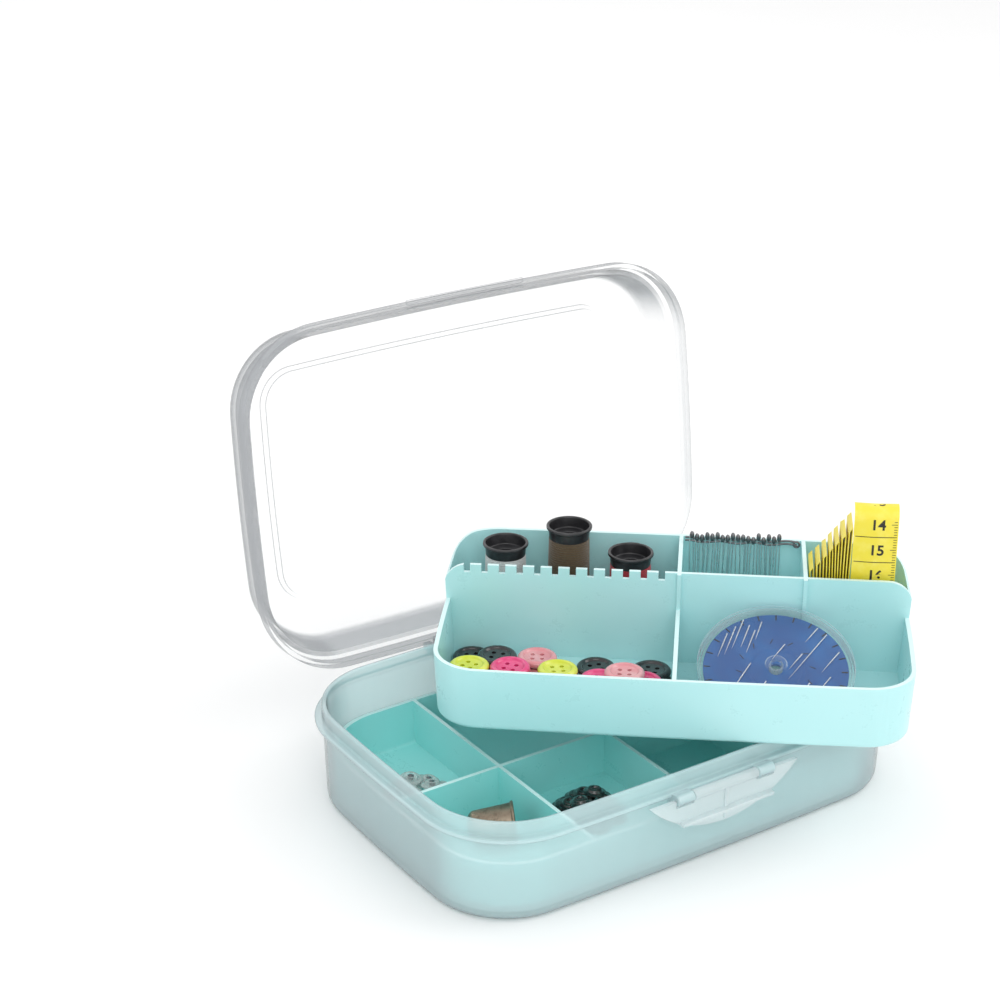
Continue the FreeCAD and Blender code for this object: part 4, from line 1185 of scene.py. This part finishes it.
@dataclass
class PinRow:
    """Closed wire pins hung side by side on a stiff wire along the rear cell."""

    shop: Workshop
    count: int = 18
    first: float = 4.75
    last: float = 37.5
    y: float = 88.1

    def build(self) -> None:
        """Makes the pins, their caps and the wire."""
        draw = np.random.default_rng(5)
        x = np.linspace(self.first, self.last, self.count)
        lean = draw.uniform(-0.5, 0.5, self.count)
        gap = draw.uniform(0.5, 0.9, self.count)
        drop = draw.uniform(-0.9, 0.9, self.count)
        wires = [self.loop(*values) for values in zip(x, lean, gap, drop)]
        caps = [self.knot(*values) for values in zip(x, drop)]
        self.shop.piece("pin_wires", wires, Finish.STEEL, "tray", ("pins",), 70.0)
        self.shop.piece("pin_caps", caps, Finish.DARK, "tray")
        self.shop.piece("pin_rail", self.rail(), Finish.DARK, "tray", ("pin_strip",), 60.0)

    def loop(self, x: float, lean: float, gap: float, drop: float) -> Patch:
        """One pin: a long narrow loop.

        It runs at z = 22.8 + 18 sin t, with x = x0 + gap * sign(cos t) * |cos t|^0.35, and its foot is
        moved aside by the lean.
        """
        t = np.linspace(0, 2 * np.pi, 41)
        z = 22.8 + 18.0 * np.sin(t) + drop
        side = gap * np.sign(np.cos(t)) * np.abs(np.cos(t)) ** 0.35
        share = (z - 5) / 36
        path = np.column_stack([x + side + lean * (1 - share) * 3, self.y + 0.5 * np.sin(2 * t), z])
        return tube(path, 0.24, 6).moved(in_tray)

    def knot(self, x: float, drop: float) -> Patch:
        """The folded cap at a pin's head: an uneven bead, longer than wide."""
        t = np.linspace(0, 1, 9)
        z = 38.6 + drop + 3.0 * t
        path = np.column_stack([np.full(9, x) + 0.25 * np.sin(3 * t), np.full(9, self.y - 0.5), z])
        return tube(path, 0.25 + 0.62 * np.sin(np.pi * t) ** 0.5, 9).moved(in_tray)

    def rail(self) -> list[Patch]:
        """The wire: nearly straight, with a closed eye at its far end."""
        x = np.linspace(2.4, 44.6, 40)
        straight = np.column_stack([x, np.full(40, self.y - 0.2), 38.0 + 0.35 * np.sin(x * 0.5)])
        t = np.linspace(0, 2 * np.pi, 20)
        eye = np.column_stack([44.3 + 1.1 * np.cos(t), np.full(20, self.y - 0.2), 38.2 + 1.1 * np.sin(t)])
        upper = straight + [0, 0.3, 1.1]
        return [tube(path, 0.42, 8).moved(in_tray) for path in (straight, upper, eye)]


@dataclass
class NeedleWheel:
    """A round clear case of needles on a blue card, leaning on the tall divider."""

    shop: Workshop
    radius: float = 28.2
    thick: float = 5.0
    x: float = 36.8
    divider: float = 58.5
    front: float = 4.1

    def build(self) -> None:
        """Makes the case, card, printing, needles, rivet and turning cover."""
        body = "needle_wheel"
        for name, profile, finish, node in (("wheel_case", self.case(), Finish.CASE, "needle_wheel_case"),
                                            ("wheel_card", self.card(), Finish.CARD, "needle_wheel_disc")):
            self.shop.piece(name, [self.spun(profile)], finish, body, (node,), 30.0)
        self.shop.piece("wheel_ticks", self.ticks(), Finish.INK, body)
        self.shop.piece("wheel_needles", self.needles(), Finish.STEEL, body, ("needle_wheel_needles",), 70.0)
        rivet = [self.spun(self.rivet())]
        self.shop.piece("wheel_rivet", rivet, Finish.CASE, body, ("needle_wheel_hub",), 30.0)
        self.shop.softened("wheel_cover", "needle_wheel_cover", Finish.CASE, "needle_cover", 0.25)

    def lean(self, points: np.ndarray) -> np.ndarray:
        """Points about the wheel's axis to where the wheel leans."""
        room = self.divider - 0.3 - self.front
        across = math.hypot(2 * self.radius, self.thick)
        angle = math.atan2(self.thick, 2 * self.radius) + math.acos(room / across)
        y = self.divider - 0.3 - self.radius * math.cos(angle)
        z = FLOOR_Z + self.radius * math.sin(angle)
        return in_tray(points @ turned(math.degrees(angle), 0).T + [self.x, y, z])

    def spun(self, profile: np.ndarray) -> Patch:
        """A profile turned about the wheel's axis, in place."""
        return Patch.grid(revolved(profile, 96)).moved(self.lean)

    def case(self) -> np.ndarray:
        """Section of the case: flat back, rounded rim, thin wall."""
        r = self.radius
        corners = [(0, 0), (r, 0), (r, 3.5), (r - 1.2, 3.5), (r - 1.2, 1.2), (0, 1.2)]
        return rounded(corners, [0.6, 0.3, 0.3, 0.3], 4)

    def card(self) -> np.ndarray:
        """Section of the blue card with a low ring near its middle."""
        corners = [(2.5, 1.25), (26, 1.25), (26, 2.3), (11, 2.3), (10.6, 2.15), (9.4, 2.15), (9, 2.3),
                   (2.5, 2.3), (2.5, 1.25)]
        return rounded(corners, [0.2, 0.2, 0.1, 0.1, 0.1, 0.1, 0.1], 2)

    def rivet(self) -> np.ndarray:
        """Section of the rivet that the cover turns on."""
        corners = [(0, 1.25), (2.35, 1.25), (2.35, 5.3), (4.1, 5.3), (3.6, 5.9), (0, 5.9)]
        return rounded(corners, [0.1, 0.2, 0.2, 0.3], 3)

    def spoke(self, path: np.ndarray, radius: Any, angle: float, sides: int = 6) -> Patch:
        """A wire along a path given as radius, sideways and height, turned to an angle."""
        turn = turned(angle, 2).T
        return tube(path, radius, sides, (0, 0, 1)).moved(lambda points: self.lean(points @ turn))

    def ticks(self) -> list[Patch]:
        """Short printed marks round the card's edge, and a few slanting ones near its middle."""
        result = []
        for index in range(24):
            path = np.linspace([23.4, 0, 2.34], [25.7, 0, 2.34], 4)
            result.append(self.spoke(path, 0.26, 15.0 * index))
        for index in range(12):
            path = np.linspace([12.2, 0.6, 2.34], [14.2, -0.6, 2.34], 4)
            result.append(self.spoke(path, 0.16, 30.0 * index + 7))
        return result

    def needles(self) -> list[Patch]:
        """Needles in two slanting bunches, each thinning to a point."""
        lines = (
            (18.2, 17.0, 4.5, -4.5), (3.2, 11.6, -1.4, 4.2), (9.4, 7.4, 4.8, 0.2),
            (19.4, -2.8, 15.4, -9.2), (15.0, 20.0, 10.6, 13.2), (22.6, 9.0, 16.2, -0.8),
            (12.0, -6.0, 5.0, -17.0), (20.0, -9.0, 13.5, -19.5), (-11.8, 22.6, -15.8, 8.6),
            (-9.6, 20.0, -12.6, 9.4), (-7.6, 17.6, -10.6, 7.0), (-5.2, 21.8, -7.4, 13.4),
            (-14.6, 19.0, -18.4, 5.6), (-17.6, 15.6, -20.8, 4.4), (-3.4, -6.0, -10.8, -21.0),
            (-9.0, 2.0, -16.4, -13.0),
        )
        result = []
        for x0, y0, x1, y1 in lines:
            path = np.linspace([x0, y0, 2.76], [x1, y1, 2.72], 14)
            taper = 0.26 * np.clip(np.linspace(1.6, 0.0, 14) + 0.16, 0.16, 1)
            result.append(tube(path, taper, 6, (0, 0, 1)).moved(self.lean))
        return result


@dataclass
class Buttons:
    """A loose heap of four-hole buttons in the tray's front cell."""

    shop: Workshop
    radius: float = 7.3
    thick: float = 2.9

    def build(self) -> None:
        """Makes each colour's buttons from one shape."""
        shape = self.shape()
        for colour, finish in (("yellow", Finish.YELLOW), ("black", Finish.BLACK),
                               ("deep_pink", Finish.DEEP_PINK), ("pale_pink", Finish.PALE_PINK)):
            patches = [self.laid(shape, *place) for place in self.places(colour)]
            self.shop.piece(f"buttons_{colour}_heap", patches, finish, "tray", (f"buttons_{colour}",), 42.0)

    def places(self, colour: str) -> list[tuple[float, float, float, float, float]]:
        """X, Y and height of each button of a colour, with its tilt about X and its turn."""
        stacks = (
            ("yellow", -73.0, 0.0, 0, 4), ("deep_pink", -58.2, 0.0, 0, 4), ("yellow", -41.0, 0.0, 0, 4),
            ("deep_pink", -25.8, 0.0, 0, 3), ("deep_pink", -10.6, 0.0, 0, 3), ("pale_pink", -17.0, 0.0, 3, 1),
            ("black", -74.8, 25.2, 0, 1), ("black", -64.3, 14.4, 0, 3), ("pale_pink", -49.6, 14.9, 0, 3),
            ("black", -28.0, 14.9, 0, 2), ("black", -7.8, 14.9, 0, 2),
        )
        found = []
        for name, x, behind, lowest, layers in stacks:
            for layer in range(lowest, lowest + layers) if name == colour else ():
                tilt = 1.6 * math.sin(5 * layer + x)
                found.append((x, 25.8 + behind, FLOOR_Z + 0.1 + layer * 3.2, tilt, 40 * layer + x * 7))
        return found

    def shape(self) -> Patch:
        """One button: rounded rim, dished middle, four holes cut through."""
        r, t = self.radius, self.thick
        corners = [(0, 0), (r - 1.4, 0), (r, 0.6), (r, t - 0.7), (r - 1.0, t), (r - 2.0, t),
                   (r - 2.6, t - 0.8), (0, t - 1.0)]
        profile = rounded(corners, [0.5, 0.7, 0.7, 0.4, 0.4, 0.4], 3)
        solid = self._object(Patch.grid(revolved(profile, 40)), "solid")
        drills = []
        for sx, sy in ((1, 1), (-1, 1), (-1, -1), (1, -1)):
            path = np.linspace([1.75 * sx, 1.75 * sy, -1], [1.75 * sx, 1.75 * sy, t + 1], 4)
            drills.append(tube(path, 0.85, 12))
        drill = self._object(Patch.joined(drills), "drill")
        cut = solid.modifiers.new("holes", "BOOLEAN")
        cut.operation = "DIFFERENCE"
        cut.object = drill
        cut.solver = "EXACT"
        mesh = bpy.data.meshes.new_from_object(solid.evaluated_get(bpy.context.evaluated_depsgraph_get()))
        for spare in (solid, drill):
            bpy.data.objects.remove(spare)
        return Patch.read(mesh).moved(lambda points: points / MM)

    @staticmethod
    def _object(patch: Patch, name: str) -> bpy.types.Object:
        """A closed surface as an object that is removed after the cut."""
        mesh, work = patch.sealed(name)
        work.to_mesh(mesh)
        work.free()
        return placed(name, mesh)

    def laid(self, shape: Patch, x: float, y: float, z: float, tilt: float, turn: float) -> Patch:
        """The button turned about its axis, tilted and laid at a place."""
        middle = np.array([0, 0, self.thick / 2])
        change = turned(tilt, 0) @ turned(turn, 2)
        return shape.moved(lambda points: in_tray((points - middle) @ change.T + middle + [x, y, z]))


# ------------------------------------------------------------------ stage
@dataclass
class Studio:
    """Pale floor, soft lights and the camera."""

    eye: tuple[float, float, float] = (-0.4175, -0.5597, 0.4155)
    right: tuple[float, float, float] = (0.83365, -0.55230, 0.0)
    up: tuple[float, float, float] = (0.21933, 0.33106, 0.91777)
    ahead: tuple[float, float, float] = (0.50688, 0.76509, -0.39712)
    lens: float = 77.4

    def build(self) -> None:
        """Makes the floor, the lights, the sky and the camera."""
        self.floor()
        self.light("key", (-0.75, -1.15, 1.1), 1.1, 7.5)
        self.light("fill", (1.2, -0.6, 1.1), 1.0, 6.0)
        self.light("rear", (0.1, 1.4, 1.2), 1.2, 4.0)
        world = bpy.data.worlds.new("sky")
        world.use_nodes = True
        sky = world.node_tree.nodes["Background"]
        sky.inputs["Color"].default_value = (1.0, 1.0, 1.0, 1.0)
        sky.inputs["Strength"].default_value = 0.9
        bpy.context.scene.world = world
        bpy.context.scene.view_settings.view_transform = "Standard"
        self.camera()

    def floor(self) -> None:
        """A wide plain pale floor under the box."""
        shader = Shader("pale_floor")
        mottle = shader.noise(6.0, 2.0)
        look = shader.surface({"Base Color": shader.mix(mottle, (0.93, 0.93, 0.93), (0.95, 0.95, 0.95)),
                               "Roughness": 0.7, "Specular IOR Level": 0.2})
        reach, below = 6000.0, -0.2
        corners = np.array([[(x * reach, y * reach, below) for x in (-1, 1)] for y in (-1, 1)])
        mesh = Patch.grid(corners).mesh("floor")
        mesh.materials.append(look)
        placed("floor", mesh)

    @staticmethod
    def light(name: str, place: tuple[float, float, float], size: float, power: float) -> None:
        """A square soft light aimed at the box."""
        data = bpy.data.lights.new(name, "AREA")
        data.size = size
        data.energy = power
        lamp = placed(name, data)
        lamp.location = place
        lamp.rotation_euler = (-Vector(place)).to_track_quat("-Z", "Y").to_euler()

    def camera(self) -> None:
        """The camera, level, from the front left and above."""
        data = bpy.data.cameras.new("camera")
        data.lens = self.lens
        data.sensor_width = 36.0
        data.clip_start = 0.01
        camera = placed("camera", data)
        basis = np.column_stack([self.right, self.up, [-value for value in self.ahead], self.eye])
        camera.matrix_world = Matrix([*basis.tolist(), [0.0, 0.0, 0.0, 1.0]])
        bpy.context.scene.camera = camera


def main() -> None:
    """Builds every sub-assembly in order; each piece logs its face count as it is made."""
    logging.basicConfig(level=logging.INFO, format="%(message)s")
    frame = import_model()
    Studio().build()
    shop = Workshop(frame)
    OuterBox(shop).build()
    Lid(shop).build()
    shop.softened("clasp_cover", "clasp_flap", Finish.CLASP, "clasp", 0.3)
    shop.softened("insert_body", "compartment_insert", Finish.INSERT, "insert", 0.4)
    Thimble(shop).build()
    PressStuds(shop).build()
    shop.softened("tray_body", "upper_tray", Finish.TRAY, "tray", 0.4)
    Spool(shop, "white", Finish.WHITE, -64.7, 38.3).build()
    Spool(shop, "brown", Finish.BROWN, -40.8, 46.3).build()
    Spool(shop, "red", Finish.RED, -17.6, 36.4).build()
    TapeMeasure(shop).build()
    PinRow(shop).build()
    NeedleWheel(shop).build()
    Buttons(shop).build()


if __name__ == "__main__":
    main()
